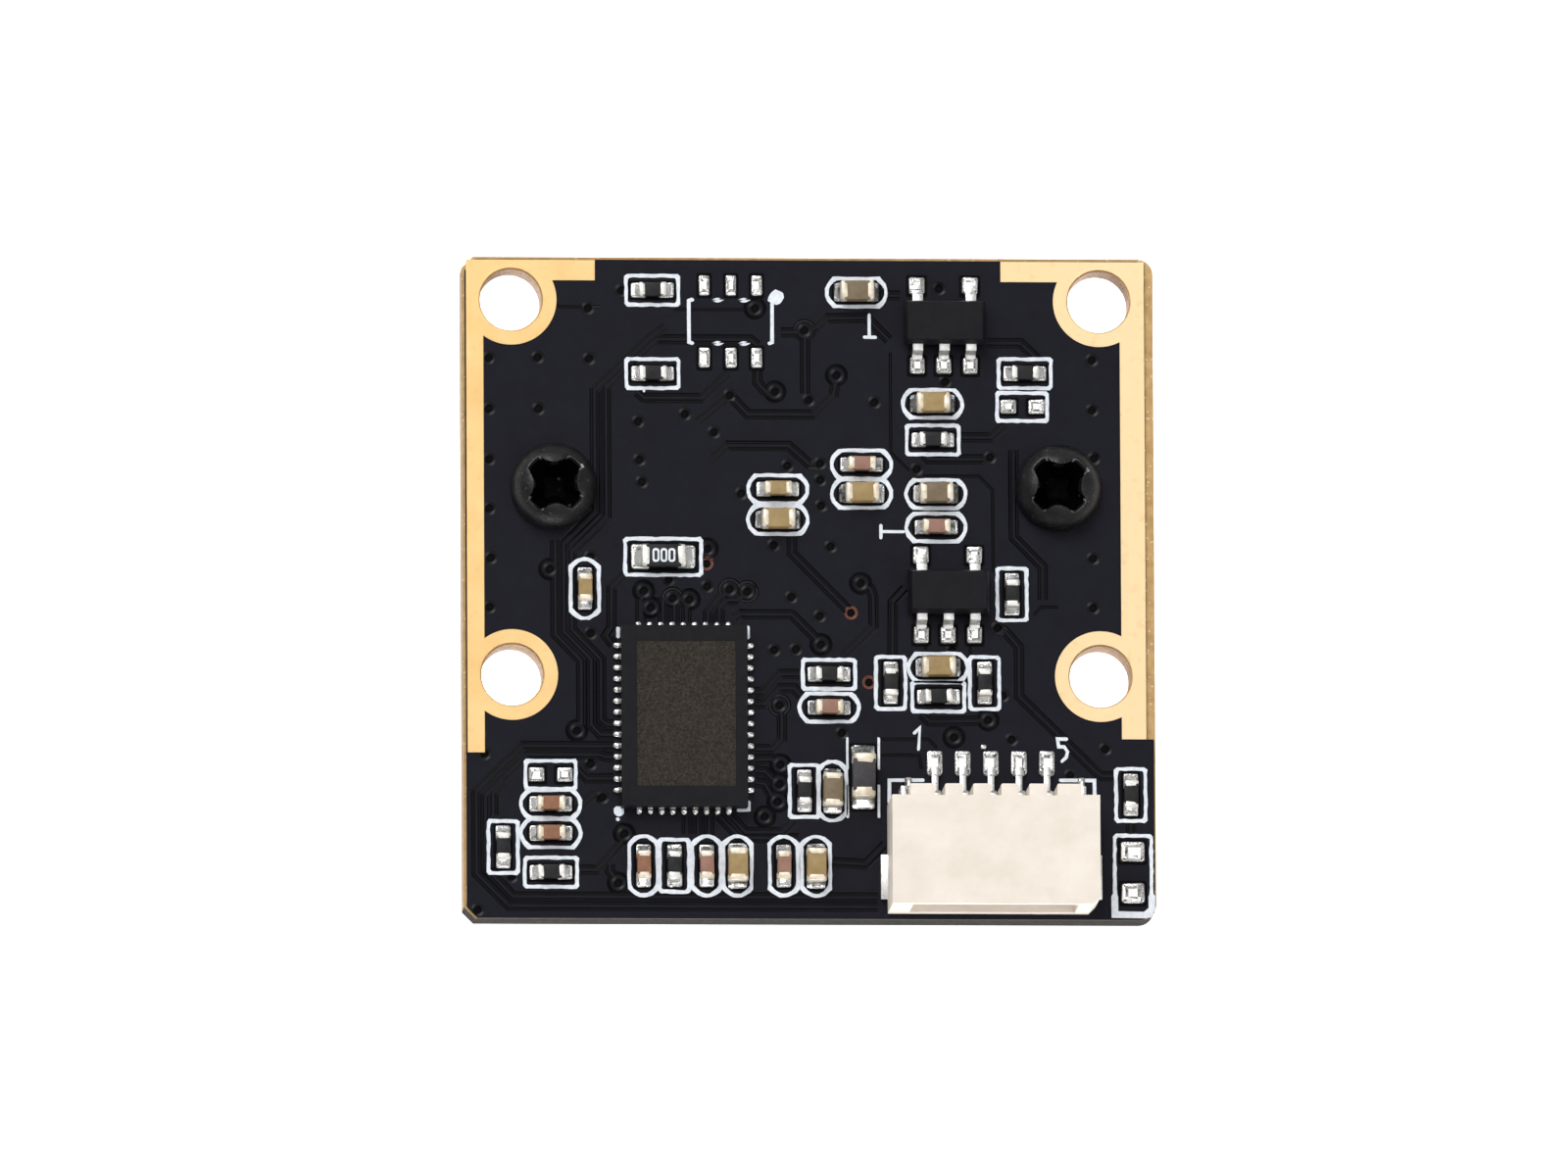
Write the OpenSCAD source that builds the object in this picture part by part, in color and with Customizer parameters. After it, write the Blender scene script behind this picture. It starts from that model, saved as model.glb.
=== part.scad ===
// Camera module: a bare board camera with a fixed-focus screw-in lens.
// It stands on the front rim of its lens (z = 0) with the component side up.
// The middle of the board lies over the origin, +X runs along its longer side,
// and +Y points away from the connector.

/* [Board] */
// Width of the board, along X
board_w = 24.7; // [24.5:0.1:28]
// Depth of the board, along Y
board_d = 23.8; // [23.5:0.1:26]
// Thickness of the board
board_t = 1.6; // [0.8:0.1:2.4]
// Radius of the two rounded right corners
corner_r = 0.55; // [0.2:0.05:1]
// Leg of the two chamfered left corners
corner_leg = 0.4; // [0.1:0.05:0.8]
// Diameter of the mounting holes
hole_d = 2.2; // [1.6:0.1:2.6]
// Distance from the left edge to the middles of the left holes
left_hole_inset = 1.75; // [1.6:0.05:2.2]
// Distance from the right edge to the middles of the right holes
right_hole_inset = 1.95; // [1.6:0.05:2.2]
// Distance between the mounting holes, along Y
hole_pitch_y = 13.5; // [12:0.1:14]
// Distance from the upper edge to the middles of the upper holes
upper_hole_inset = 1.55; // [1.5:0.05:2]

/* [Edge plating] */
// Thickness of the plated copper
plating_t = 0.04; // [0.02:0.01:0.1]
// Width of the ring round a mounting hole
ring_w = 0.53; // [0.3:0.05:0.7]
// Width of the left strip
left_strip_w = 0.75; // [0.4:0.05:1.2]
// Width of the right strip
right_strip_w = 1.2; // [0.4:0.05:1.4]
// Width of the two tabs along the upper edge
top_strip_w = 0.85; // [0.4:0.05:1.2]
// Length of the left tab along the upper edge
left_tab_l = 4.75; // [3:0.05:6]
// Length of the right tab along the upper edge
right_tab_l = 5.45; // [3:0.05:6]
// Bare laminate between the plating and the left edge
left_bare = 0.1; // [0.05:0.05:0.2]
// Bare laminate between the plating and the right edge
right_bare = 0.3; // [0.1:0.05:0.4]
// Bare laminate between the plating and the upper edge
upper_bare = 0.15; // [0.05:0.05:0.3]
// Height of the lower end of the left strip over the lower edge
left_foot = 5.95; // [4:0.05:7]
// Height of the lower end of the right strip over the lower edge
right_foot = 6.5; // [4:0.05:7]

/* [Printing and solder] */
// Thickness of the printed lines
print_t = 0.02; // [0.01:0.01:0.05]
// Width of the printed lines
print_w = 0.14; // [0.08:0.01:0.2]
// Height of a tinned land
land_t = 0.05; // [0.03:0.01:0.1]
// Gap between the two lands of a chip part
land_gap = 0.4; // [0.3:0.05:0.5]
// Length of a land of a chip part
land_l = 0.58; // [0.5:0.02:0.62]
// Width of a land of a chip part
land_w = 0.54; // [0.4:0.02:0.6]

/* [Chip parts] */
// Length of a small chip part
small_l = 1.0; // [0.9:0.05:1.1]
// Width of a small chip part
small_w = 0.5; // [0.4:0.05:0.6]
// Height of a small capacitor
small_h = 0.5; // [0.3:0.05:0.6]
// Height of a resistor
resistor_h = 0.35; // [0.25:0.05:0.5]
// Length of a large capacitor
large_l = 1.2; // [1.1:0.05:1.3]
// Width of a large capacitor
large_w = 0.7; // [0.6:0.05:0.8]
// Height of a large capacitor
large_h = 0.65; // [0.5:0.05:0.8]
// Length of the zero-ohm link and of the bead
link_l = 1.6; // [1.4:0.05:1.7]
// Width of the zero-ohm link and of the bead
link_w = 0.82; // [0.7:0.02:0.9]
// Height of the zero-ohm link
link_h = 0.45; // [0.3:0.05:0.6]
// Height of the bead
bead_h = 0.8; // [0.6:0.05:0.9]
// Length of the metal cap on each end of a small chip part
cap_l = 0.24; // [0.15:0.01:0.3]
// How far a metal cap stands proud of the ceramic
cap_proud = 0.015; // [0.005:0.005:0.03]

/* [Controller] */
// Width of the controller, along X
chip_w = 4.5; // [4.4:0.05:4.6]
// Length of the controller, along Y
chip_l = 6.5; // [6.4:0.05:6.6]
// Height of the controller
chip_h = 0.8; // [0.6:0.05:1]
// Distance between the leads of the controller
lead_pitch = 0.4; // [0.36:0.01:0.42]
// Width of a lead of the controller
lead_w = 0.22; // [0.16:0.01:0.26]
// Leads on each long side
leads_long = 14; // [10:1:14]
// Leads on each short side
leads_short = 9; // [5:1:9]

/* [Regulators] */
// Length of a regulator, along X
reg_l = 2.9; // [2.7:0.05:3]
// Width of a regulator body, along Y
reg_w = 1.6; // [1.5:0.05:1.7]
// Height of a regulator
reg_h = 1.1; // [0.9:0.05:1.3]
// Distance between the leads of a regulator
reg_pitch = 0.95; // [0.9:0.01:1]
// Width of a lead of a regulator
reg_lead_w = 0.38; // [0.3:0.02:0.45]
// Distance from tip to tip across a regulator
reg_span = 2.8; // [2.6:0.05:3]

/* [Connector] */
// Number of contacts
ways = 5; // [3:1:5]
// Distance between the contacts
contact_pitch = 1.0; // [0.95:0.01:1.05]
// Housing outside the middles of its outer contacts, at each end
housing_end = 1.7; // [1.5:0.05:1.8]
// Depth of the housing at its ends
housing_d = 3.9; // [3.6:0.05:4.2]
// How far the rear wall stands out behind the contacts
tongue_d = 0.4; // [0.3:0.05:0.5]
// Height of the housing
housing_h = 2.95; // [2.6:0.05:3.3]
// Distance from the lower edge of the board to the mouth
mouth_inset = 0.2; // [0:0.05:0.4]
// Height of the mouth
mouth_h = 1.9; // [1.6:0.05:2.1]
// Depth of the mouth
mouth_d = 3.1; // [2.6:0.05:3.2]
// Thickness of the floor under the mouth
floor_t = 0.5; // [0.4:0.05:0.6]
// Thickness of the contacts and tabs
metal_t = 0.2; // [0.15:0.01:0.25]
// Width of a contact
contact_w = 0.24; // [0.2:0.01:0.3]
// Distance from the right edge of the board to the housing
connector_inset = 2.2; // [2.1:0.05:2.6]

/* [Lens holder] */
// Side of the square base
base_side = 14; // [13.5:0.1:15]
// Height of the whole holder
holder_h = 10; // [9.5:0.1:12]
// Height of the square base
base_h = 6; // [5.6:0.1:7]
// Outer diameter of the threaded tube
tube_d = 14; // [13.6:0.1:14.6]
// Distance between the screws
screw_pitch = 18; // [17.8:0.1:18.4]
// Diameter of the ears
ear_d = 4.4; // [4:0.1:4.8]
// Height of the ears
ear_h = 5; // [4.8:0.1:5.4]
// Side of the chamber round the sensor
chamber_side = 11.4; // [11:0.1:12]
// Depth of the threaded bore
thread_depth = 5; // [4.6:0.1:5.5]
// Thickness of the ledge that carries the filter
ledge_t = 1; // [0.8:0.1:1.4]
// Diameter of the window in the ledge
window_d = 6.6; // [6:0.1:7.2]

/* [Lens screws] */
// Diameter of a screw head
head_d = 3; // [2.8:0.1:3.4]
// Height of a screw head
head_h = 1.2; // [0.9:0.05:1.4]
// Diameter of a screw thread
screw_d = 1.6; // [1.4:0.1:1.8]
// Length of a screw under its head
screw_l = 6; // [5:0.1:6.2]
// Clearance round a screw in the board
screw_clearance = 0.2; // [0.1:0.05:0.3]

/* [Lens] */
// Diameter of the thread
thread_d = 12; // [11.6:0.1:12.4]
// Diameter of the barrel head
barrel_head_d = 14; // [13.6:0.1:15]
// Height of the barrel head
barrel_head_h = 6; // [5:0.1:7]
// Open stretch of thread between head and holder
focus_gap = 2.5; // [1:0.1:3]
// Depth of the flared hood
hood_h = 1.2; // [1.1:0.1:2]
// Diameter of the hood at its rim
hood_d = 12.6; // [11.6:0.1:12.8]
// Diameter of the bore for the front element
front_bore_d = 10.4; // [9.8:0.1:10.6]
// Diameter of the bore for the rear elements
rear_bore_d = 7.2; // [6.8:0.1:7.6]
// Diameter of the rear opening
rear_window_d = 4.6; // [4:0.1:5.2]
// Height of the retaining ring
ring_h = 1.0; // [0.8:0.1:1.4]
// Inner diameter of the retaining ring
ring_bore_d = 8.4; // [7.8:0.1:8.8]
// Height of the front element at its edge
front_glass_h = 2.8; // [2.6:0.1:3.2]
// Height of the ring between the front and middle elements
spacer_h = 1.2; // [1:0.1:1.6]
// Height of the middle element at its edge
middle_glass_h = 2.4; // [2:0.1:2.8]
// Height of the aperture stop
stop_h = 1.0; // [0.8:0.1:1.4]
// Diameter of the aperture
aperture_d = 3.2; // [2:0.1:4]
// Height of the rear element at its edge
rear_glass_h = 2.0; // [1.8:0.1:2.4]
// Height of the wall behind the rear element
rear_wall_h = 1.2; // [0.9:0.1:1.6]
// Clearance of the elements in their bores, on the radius
lens_fit = 0.05; // [0.02:0.01:0.08]
// Number of grip grooves round the barrel head
grip_count = 30; // [12:1:36]

/* [Sensor and filter] */
// Side of the filter glass
filter_side = 8; // [7.6:0.1:8.4]
// Thickness of the filter glass
filter_t = 0.6; // [0.4:0.05:0.8]
// Depth of the pocket that seats the filter
filter_seat = 0.4; // [0.2:0.05:0.5]
// Width of the sensor package, along X
sensor_w = 8.2; // [7.8:0.1:8.6]
// Depth of the sensor package, along Y
sensor_l = 7.4; // [7:0.1:7.8]
// Height of the sensor package
sensor_h = 1.3; // [1.2:0.05:1.6]
// Thickness of the cover glass
cover_t = 0.4; // [0.3:0.05:0.5]
// Width of the package wall round the cover glass
sensor_wall = 0.5; // [0.4:0.05:0.6]

/* [Hidden] */
$fn = 64;
eps = 0.01;

// Heights of the faces, from the rim of the lens up
barrel_l = hood_h + ring_h + front_glass_h + spacer_h + middle_glass_h + stop_h
    + rear_glass_h + rear_wall_h;
holder_z = barrel_head_h + focus_gap;
board_z = holder_z + holder_h;
top_z = board_z + board_t;
land_z = top_z + land_t;
ledge_z = holder_z + thread_depth;
chamber_z = ledge_z + ledge_t;
filter_z = chamber_z - filter_seat;

// Edges of the board
left_x = -board_w / 2;
right_x = board_w / 2;
lower_y = -board_d / 2;
upper_y = board_d / 2;

// Middle of the four mounting holes, which is the lens axis
hole_pitch_x = board_w - left_hole_inset - right_hole_inset;
axis_x = left_x + left_hole_inset + hole_pitch_x / 2;
axis_y = upper_y - upper_hole_inset - hole_pitch_y / 2;

// Housing of the connector
housing_w = (ways - 1) * contact_pitch + 2 * housing_end;
connector_x = right_x - connector_inset - housing_w / 2;
connector_y = lower_y + mouth_inset;
connector_left = connector_x - housing_w / 2;

// Printed outlines round the chip parts
outline_l = 2.0;
outline_w = 1.18;
round_outline_l = 2.2;
round_outline_w = 1.14;
round_outline_r = 0.4;
link_outline_l = 2.85;
link_outline_w = 1.44;

// Columns of chip parts that keep their distance to an edge or to the connector
left_cluster_x = left_x + 3.1;
left_column_x = left_x + 1.4;
right_column_x = right_x - 0.9;
bead_x = connector_left - 0.85;
near_column_x = connector_left - 1.95;
far_column_x = connector_left - 2.95;

// Capacitors: middle X and Y, turn, and whether it is a large one
CAPACITORS = [
    [1.75, 10.65, 0, true], [4.45, 6.65, 0, true], [1.9, 4.45, 0, false],
    [1.9, 3.4, 0, true], [4.55, 3.4, 0, true], [4.55, 2.2, 0, false],
    [-1.1, 3.55, 0, false], [-1.1, 2.45, 0, true], [-8.0, -0.05, 90, false],
    [0.7, -4.3, 0, false], [4.6, -2.85, 0, true], [near_column_x, -7.3, 90, true],
    [left_cluster_x, -7.8, 0, false], [left_cluster_x, -8.85, 0, false], [-5.95, -10, 90, false],
    [-3.7, -10, 90, false], [-2.6, -10, 90, true], [-0.95, -10, 90, false],
    [0.2, -10, 90, true]];

// Resistors: middle X and Y, and turn
RESISTORS = [
    [-5.55, 10.7, 0], [-5.55, 7.7, 0], [7.75, 7.75, 0], [4.45, 5.35, 0],
    [7.25, -0.2, 90], [0.7, -3.1, 0], [2.9, -3.4, 90], [4.6, -3.9, 0],
    [6.25, -3.4, 90], [far_column_x, -7.3, 90], [left_cluster_x, -10.25, 0],
    [left_column_x, -9.35, 90], [-4.85, -10, 90], [right_column_x, -7.4, 90]];

// Empty places with two bare lands
EMPTY_PLACES = [[7.65, 6.55, 0], [left_cluster_x, -6.75, 0]];

// Single places
LINK = [-5.2, 1.1, 0];
BEAD = [bead_x, -6.8, 90];
CONTROLLER = [-4.5, -4.7, 0];
REGULATORS = [[4.85, 9.5, 0], [4.95, -0.2, 0]];
EMPTY_SIX = [-2.75, 9.6, 0];
EMPTY_DIODE = [right_column_x, -10.15, 90];

// Larger lands
link_land_l = 0.85;
link_land_gap = 0.9;
diode_land = [0.85, 0.8];
diode_land_gap = 0.65;
six_land = [0.42, 0.76];
six_row = 1.3;
reg_land = [0.58, 0.8];
reg_land_y = 1.35;
contact_land = [0.6, 1.4];
contact_land_y = 0.15;

// Controller
lead_l = 0.4;
lead_t = 0.2;
joint_out = 0.25;
joint_h = 0.16;
mark_inset = [0.55, 0.43, 0.56, 0.72];
mark_depth = 0.03;
thermal_pad = [2.6, 4.6];

// Regulators
reg_draft = 0.12;
reg_lead_t = 0.14;
reg_lead_z = 0.5;
reg_foot = 0.34;

// Connector
side_wall = 0.75;
mouth_w = housing_w - 2 * side_wall;
mouth_lead_in = 0.15;
front_chamfer = 0.25;
notch_w = 0.34;
notch_flare = 0.1;
contact_tip = 0.9;
contact_foot = 1.0;
tab_x = mouth_w / 2 + 0.15;
tab_h = 1.5;
tab_front = 0.5;
tab_foot_l = 1.6;
tab_foot_out = 0.25;
tab_tail = 0.5;
slot_fit = 0.02;

// Holder
base_r = 1;
pilot_extra = 0.2;
pilot_fit = 0.02;

// Lens
barrel_chamfer = 0.4;
barrel_thread_d = thread_d - 0.1;
grip_d = 0.5;
grip_z = 1.6;
front_radius = 10;
front_hollow_radius = 4.5;
front_hollow_d = 6;
middle_radius = 6;
spacer_bore_d = 5.4;
rear_radius = 5;

// Sensor
die = [5, 4];
die_t = 0.35;
cover_ledge = 0.6;
sensor_floor = 0.4;

function two_digits(n) = str(n < 10 ? "0" : "", n);

// ---------------------------------------------------------------- helpers

// A place on the component side: [x, y, turn]
module at(place) {
    translate([place[0], place[1], top_z]) rotate([0, 0, place[2]]) children();
}

// A block centred on X and Y that stands on z = 0
module block(l, w, h) {
    translate([-l / 2, -w / 2, 0]) cube([l, w, h]);
}

// A slab with rounded upright corners, centred on X and Y
module round_slab(l, w, h, r) {
    block(l - 2 * r, w, h);
    block(l, w - 2 * r, h);
    for (x = [-1, 1], y = [-1, 1])
        translate([x * (l / 2 - r), y * (w / 2 - r), 0]) cylinder(r = r, h = h);
}

// A frame of printed lines, round or square at its corners
module printed_frame(l, w, r) {
    difference() {
        round_slab(l, w, print_t, r);
        translate([0, 0, -eps])
            round_slab(l - 2 * print_w, w - 2 * print_w, print_t + 2 * eps, max(r - print_w, 0.03));
    }
}

module at_mounting_holes() {
    for (x = [-1, 1], y = [-1, 1])
        translate([axis_x + x * hole_pitch_x / 2, axis_y + y * hole_pitch_y / 2, 0]) children();
}

module at_lens_screws() {
    for (x = [-1, 1]) translate([axis_x + x * screw_pitch / 2, axis_y, 0]) children();
}

module at_contacts() {
    for (i = [0:ways - 1])
        translate([(i - (ways - 1) / 2) * contact_pitch, 0, 0]) children();
}

// Frame of the connector: its mouth at y = 0, its middle at x = 0
module at_connector() {
    translate([connector_x, connector_y, top_z]) children();
}

// ------------------------------------------------------------------ board

// Outline of the board: chamfered on the left, rounded on the right
module board_outline() {
    difference() {
        polygon([
            [left_x + corner_leg, lower_y], [right_x, lower_y],
            [right_x, upper_y], [left_x + corner_leg, upper_y],
            [left_x, upper_y - corner_leg], [left_x, lower_y + corner_leg]]);
        for (y = [lower_y, upper_y])
            translate([right_x - corner_r, y > 0 ? y - corner_r : y])
                square(corner_r);
    }
    for (y = [lower_y + corner_r, upper_y - corner_r])
        translate([right_x - corner_r, y]) circle(r = corner_r);
}

module circuit_board() {
    color([0.09, 0.1, 0.12])
    difference() {
        translate([0, 0, board_z]) linear_extrude(board_t) board_outline();
        at_mounting_holes() translate([0, 0, board_z - eps])
            cylinder(d = hole_d, h = board_t + 2 * eps);
        at_lens_screws() translate([0, 0, board_z - eps])
            cylinder(d = screw_d + 2 * screw_clearance, h = board_t + 2 * eps);
    }
}

module strip(x0, x1, y0, y1) {
    translate([x0, y0, top_z]) cube([x1 - x0, y1 - y0, plating_t]);
}

// Gold strips along the edges, and a ring round each mounting hole on both sides
module edge_plating() {
    ring_d = hole_d + 2 * ring_w;
    color([0.93, 0.78, 0.47])
    difference() {
        union() {
            intersection() {
                translate([0, 0, top_z]) linear_extrude(plating_t) board_outline();
                strip(left_x + left_bare, right_x - right_bare, lower_y, upper_y - upper_bare);
                union() {
                    strip(left_x, left_x + left_strip_w, lower_y + left_foot, upper_y);
                    strip(left_x, left_x + left_tab_l, upper_y - top_strip_w, upper_y);
                    strip(right_x - right_strip_w, right_x, lower_y + right_foot, upper_y);
                    strip(right_x - right_tab_l, right_x, upper_y - top_strip_w, upper_y);
                    at_mounting_holes() translate([0, 0, top_z]) cylinder(d = ring_d, h = 1);
                }
            }
            intersection() {
                translate([0, 0, board_z - plating_t]) linear_extrude(plating_t) board_outline();
                at_mounting_holes() translate([0, 0, board_z - 1]) cylinder(d = ring_d, h = 2);
            }
        }
        at_mounting_holes() translate([0, 0, board_z - 1]) cylinder(d = hole_d, h = board_t + 2);
    }
}

// --------------------------------------------------------------- printing

// Brackets and marks of the empty six-lead place
module six_lead_print() {
    side_x = 1.5;
    half_h = 0.8;
    for (x = [-side_x, side_x]) translate([x, 0, 0]) block(print_w, 2 * half_h, print_t);
    for (x = [-0.47, 0.47], y = [-half_h, half_h]) translate([x, y, 0])
        round_slab(0.36, 0.2, print_t, 0.09);
    translate([side_x + 0.1, half_h + 0.06, 0]) cylinder(r = 0.28, h = print_t);
}

// Two open brackets of the bead
module bead_print() {
    for (y = [-0.56, 0.56]) translate([0, y, 0]) block(2.8, 0.1, print_t);
}

// Frame of the empty diode place, heavy at its marked end
module diode_print() {
    printed_frame(3.05, 1.4, 0.15);
    translate([-1.3, 0, 0]) difference() {
        round_slab(0.8, 1.62, print_t, 0.2);
        translate([0.2, 0, -eps]) round_slab(0.9, 1.1, print_t + 2 * eps, 0.05);
    }
}

// Corner marks and first-lead dot of the controller
module controller_print() {
    x = chip_w / 2 + joint_out - 0.05;
    y = chip_l / 2 + 0.02;
    translate([-x - 0.03, -y - 0.16, 0]) cylinder(r = 0.28, h = print_t);
    translate([x, -y + 0.18, 0]) block(0.12, 0.36, print_t);
    translate([-x + 0.06, y - 0.2, 0]) block(0.08, 0.4, print_t);
}

// Corner brackets behind the connector, and the plain numbers of its end contacts
module connector_print() {
    bracket_x = housing_w / 2 - 0.05;
    bracket_y = housing_d + 0.9;
    for (x = [-1, 1]) {
        translate([x * (bracket_x - 0.55), bracket_y, 0]) block(1.2, 0.12, print_t);
        translate([x * bracket_x, bracket_y - 0.25, 0]) block(0.1, 0.5, print_t);
    }
    at_numeral_1() numeral_1();
    at_numeral_5() numeral_5();
}

module at_numeral_1() {
    translate([-(ways - 1) / 2 * contact_pitch - 0.6, housing_d + 2.4, 0]) children();
}

module at_numeral_5() {
    translate([(ways - 1) / 2 * contact_pitch + 0.62, housing_d + 2.05, 0]) children();
}

module numeral_1() {
    block(0.12, 0.9, print_t);
    translate([-0.08, 0.34, 0]) rotate([0, 0, 45]) block(0.24, 0.1, print_t);
}

module numeral_5() {
    translate([0, 0.42, 0]) block(0.42, 0.11, print_t);
    translate([-0.16, 0.22, 0]) block(0.11, 0.46, print_t);
    difference() {
        translate([-0.02, -0.14, 0]) cylinder(d = 0.48, h = print_t);
        translate([-0.02, -0.14, -eps]) cylinder(d = 0.27, h = print_t + 2 * eps);
        translate([-0.26, -0.14, -eps]) block(0.3, 0.24, 3 * print_t);
    }
}

module silkscreen() {
    color([0.86, 0.9, 0.95]) {
        for (c = CAPACITORS) at(c)
            printed_frame(round_outline_l, round_outline_w, round_outline_r);
        for (r = concat(RESISTORS, EMPTY_PLACES)) at(r)
            printed_frame(outline_l, outline_w, 0.08);
        at(LINK) printed_frame(link_outline_l, link_outline_w, 0.08);
        at(BEAD) bead_print();
        at(EMPTY_SIX) six_lead_print();
        at(EMPTY_DIODE) diode_print();
        at(CONTROLLER) controller_print();
        at_connector() connector_print();
    }
}

// ----------------------------------------------------------------- solder

// One land with the fillet that climbs the end of a chip part
module chip_joint(inner, len, w, chip_end, rise) {
    rotate([90, 0, 0]) translate([0, 0, -w / 2]) linear_extrude(w)
        polygon([[inner, 0], [inner + len, 0], [inner + len, land_t],
                 [chip_end, rise], [chip_end, land_t], [inner, land_t]]);
}

module chip_joints(inner, len, w, chip_end, rise) {
    for (turn = [0, 180]) rotate([0, 0, turn]) chip_joint(inner, len, w, chip_end, rise);
}

module bare_lands(gap, land, w) {
    for (x = [-1, 1]) translate([x * (gap + land) / 2, 0, 0]) block(land, w, land_t);
}

module controller_joints() {
    for (side = [-1, 1]) {
        for (i = [0:leads_long - 1])
            translate([side * (chip_w + joint_out) / 2, (i - (leads_long - 1) / 2) * lead_pitch, 0])
                block(joint_out, lead_w, joint_h);
        for (i = [0:leads_short - 1])
            translate([(i - (leads_short - 1) / 2) * lead_pitch, side * (chip_l + joint_out) / 2, 0])
                block(lead_w, joint_out, joint_h);
    }
}

module regulator_lands() {
    for (x = [-1, 0, 1]) translate([x * reg_pitch, -reg_land_y, 0])
        block(reg_land[0], reg_land[1], land_t);
    for (x = [-1, 1]) translate([x * reg_pitch, reg_land_y, 0])
        block(reg_land[0], reg_land[1], land_t);
}

module connector_lands() {
    at_contacts() translate([0, housing_d + tongue_d + contact_land_y + contact_land[1] / 2, 0])
        block(contact_land[0], contact_land[1], land_t);
    for (x = [-1, 1]) translate([x * (housing_w / 2 + tab_foot_out / 2 - 0.1), tab_front, 0])
        translate([-0.2, 0, 0]) cube([0.4, tab_foot_l, land_t]);
}

module solder_joints() {
    inner = land_gap / 2;
    color([0.82, 0.83, 0.84]) {
        for (c = CAPACITORS) at(c) chip_joints(inner, land_l, land_w,
            (c[3] ? large_l : small_l) / 2, (c[3] ? large_h : small_h) * 0.6);
        for (r = RESISTORS) at(r) chip_joints(inner, land_l, land_w, small_l / 2, resistor_h);
        for (e = EMPTY_PLACES) at(e) bare_lands(land_gap, land_l, land_w);
        at(LINK) chip_joints(link_land_gap / 2, link_land_l, link_w, link_l / 2, link_h);
        at(BEAD) chip_joints(link_land_gap / 2, link_land_l, link_w, link_l / 2, bead_h * 0.5);
        at(EMPTY_DIODE) bare_lands(diode_land_gap, diode_land[0], diode_land[1]);
        at(EMPTY_SIX) for (x = [-1, 0, 1], y = [-1, 1])
            translate([x * reg_pitch, y * six_row, 0]) block(six_land[0], six_land[1], land_t);
        at(CONTROLLER) controller_joints();
        for (r = REGULATORS) at(r) regulator_lands();
        at_connector() connector_lands();
    }
}

// ------------------------------------------------------------- chip parts

// A ceramic chip with a metal cap on each end, seated on its lands
module chip_part(l, w, h, cap) {
    translate([0, 0, land_t]) {
        translate([0, 0, cap_proud]) block(l - cap, w - 2 * cap_proud, h - 2 * cap_proud);
        for (x = [-1, 1]) translate([x * (l - cap) / 2, 0, 0]) block(cap, w, h);
    }
}

module capacitor(c) {
    color(c[3] ? [0.72, 0.58, 0.36] : [0.66, 0.44, 0.33]) at(c)
        if (c[3]) chip_part(large_l, large_w, large_h, cap_l + 0.02);
        else chip_part(small_l, small_w, small_h, cap_l);
}

module resistor(r) {
    color([0.15, 0.15, 0.16]) at(r) chip_part(small_l, small_w, resistor_h, cap_l);
}

module zero_ohm_link() {
    color([0.13, 0.13, 0.14]) at(LINK) chip_part(link_l, link_w, link_h, 0.3);
}

module ferrite_bead() {
    color([0.3, 0.29, 0.3]) at(BEAD) chip_part(link_l, link_w, bead_h, 0.42);
}

// ------------------------------------------------------------- controller

// The lead frame: a lead at every place round the edge, and the thermal pad
module lead_frame() {
    for (side = [-1, 1]) {
        for (i = [0:leads_long - 1])
            translate([side * (chip_w - lead_l) / 2, (i - (leads_long - 1) / 2) * lead_pitch, 0])
                block(lead_l, lead_w, lead_t);
        for (i = [0:leads_short - 1])
            translate([(i - (leads_short - 1) / 2) * lead_pitch, side * (chip_l - lead_l) / 2, 0])
                block(lead_w, lead_l, lead_t);
    }
    block(thermal_pad[0], thermal_pad[1], lead_t);
}

module controller_leads() {
    color([0.75, 0.73, 0.7]) at(CONTROLLER) lead_frame();
}

// Moulded body, with the shallow field that hides the marking
module controller_chip() {
    color([0.14, 0.14, 0.16]) at(CONTROLLER) difference() {
        block(chip_w, chip_l, chip_h);
        lead_frame();
        translate([-chip_w / 2 + mark_inset[0], -chip_l / 2 + mark_inset[3], chip_h - mark_depth])
            cube([chip_w - mark_inset[0] - mark_inset[1],
                  chip_l - mark_inset[2] - mark_inset[3], 2 * mark_depth]);
    }
}

// ------------------------------------------------------------- regulators

// Half outline of a moulded body with drafted sides, split at the leads
module drafted_profile(w) {
    z0 = land_t + 0.05;
    z1 = reg_lead_z + reg_lead_t / 2;
    polygon([[-w / 2 + reg_draft, z0], [w / 2 - reg_draft, z0], [w / 2, z1],
             [w / 2 - reg_draft, reg_h], [-w / 2 + reg_draft, reg_h], [-w / 2, z1]]);
}

module regulator_body() {
    difference() {
        intersection() {
            rotate([90, 0, 0]) translate([0, 0, -reg_w]) linear_extrude(2 * reg_w) drafted_profile(reg_l);
            rotate([90, 0, 90]) translate([0, 0, -reg_l]) linear_extrude(2 * reg_l) drafted_profile(reg_w);
        }
        five_leads();
    }
}

// One gull-wing lead that leaves the body towards +Y
module gull_lead() {
    tip = reg_span / 2;
    heel = tip - reg_foot;
    root = reg_w / 2 - 0.3;
    rotate([90, 0, 90]) translate([0, 0, -reg_lead_w / 2]) linear_extrude(reg_lead_w)
        polygon([[root, reg_lead_z], [heel - reg_lead_t, reg_lead_z], [heel - 0.04, land_t],
                 [tip, land_t], [tip, land_t + reg_lead_t], [heel + 0.06, land_t + reg_lead_t],
                 [heel - 0.04, reg_lead_z + reg_lead_t], [root, reg_lead_z + reg_lead_t]]);
}

module five_leads() {
    for (x = [-1, 0, 1]) translate([x * reg_pitch, 0, 0]) mirror([0, 1, 0]) gull_lead();
    for (x = [-1, 1]) translate([x * reg_pitch, 0, 0]) gull_lead();
}

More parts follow.
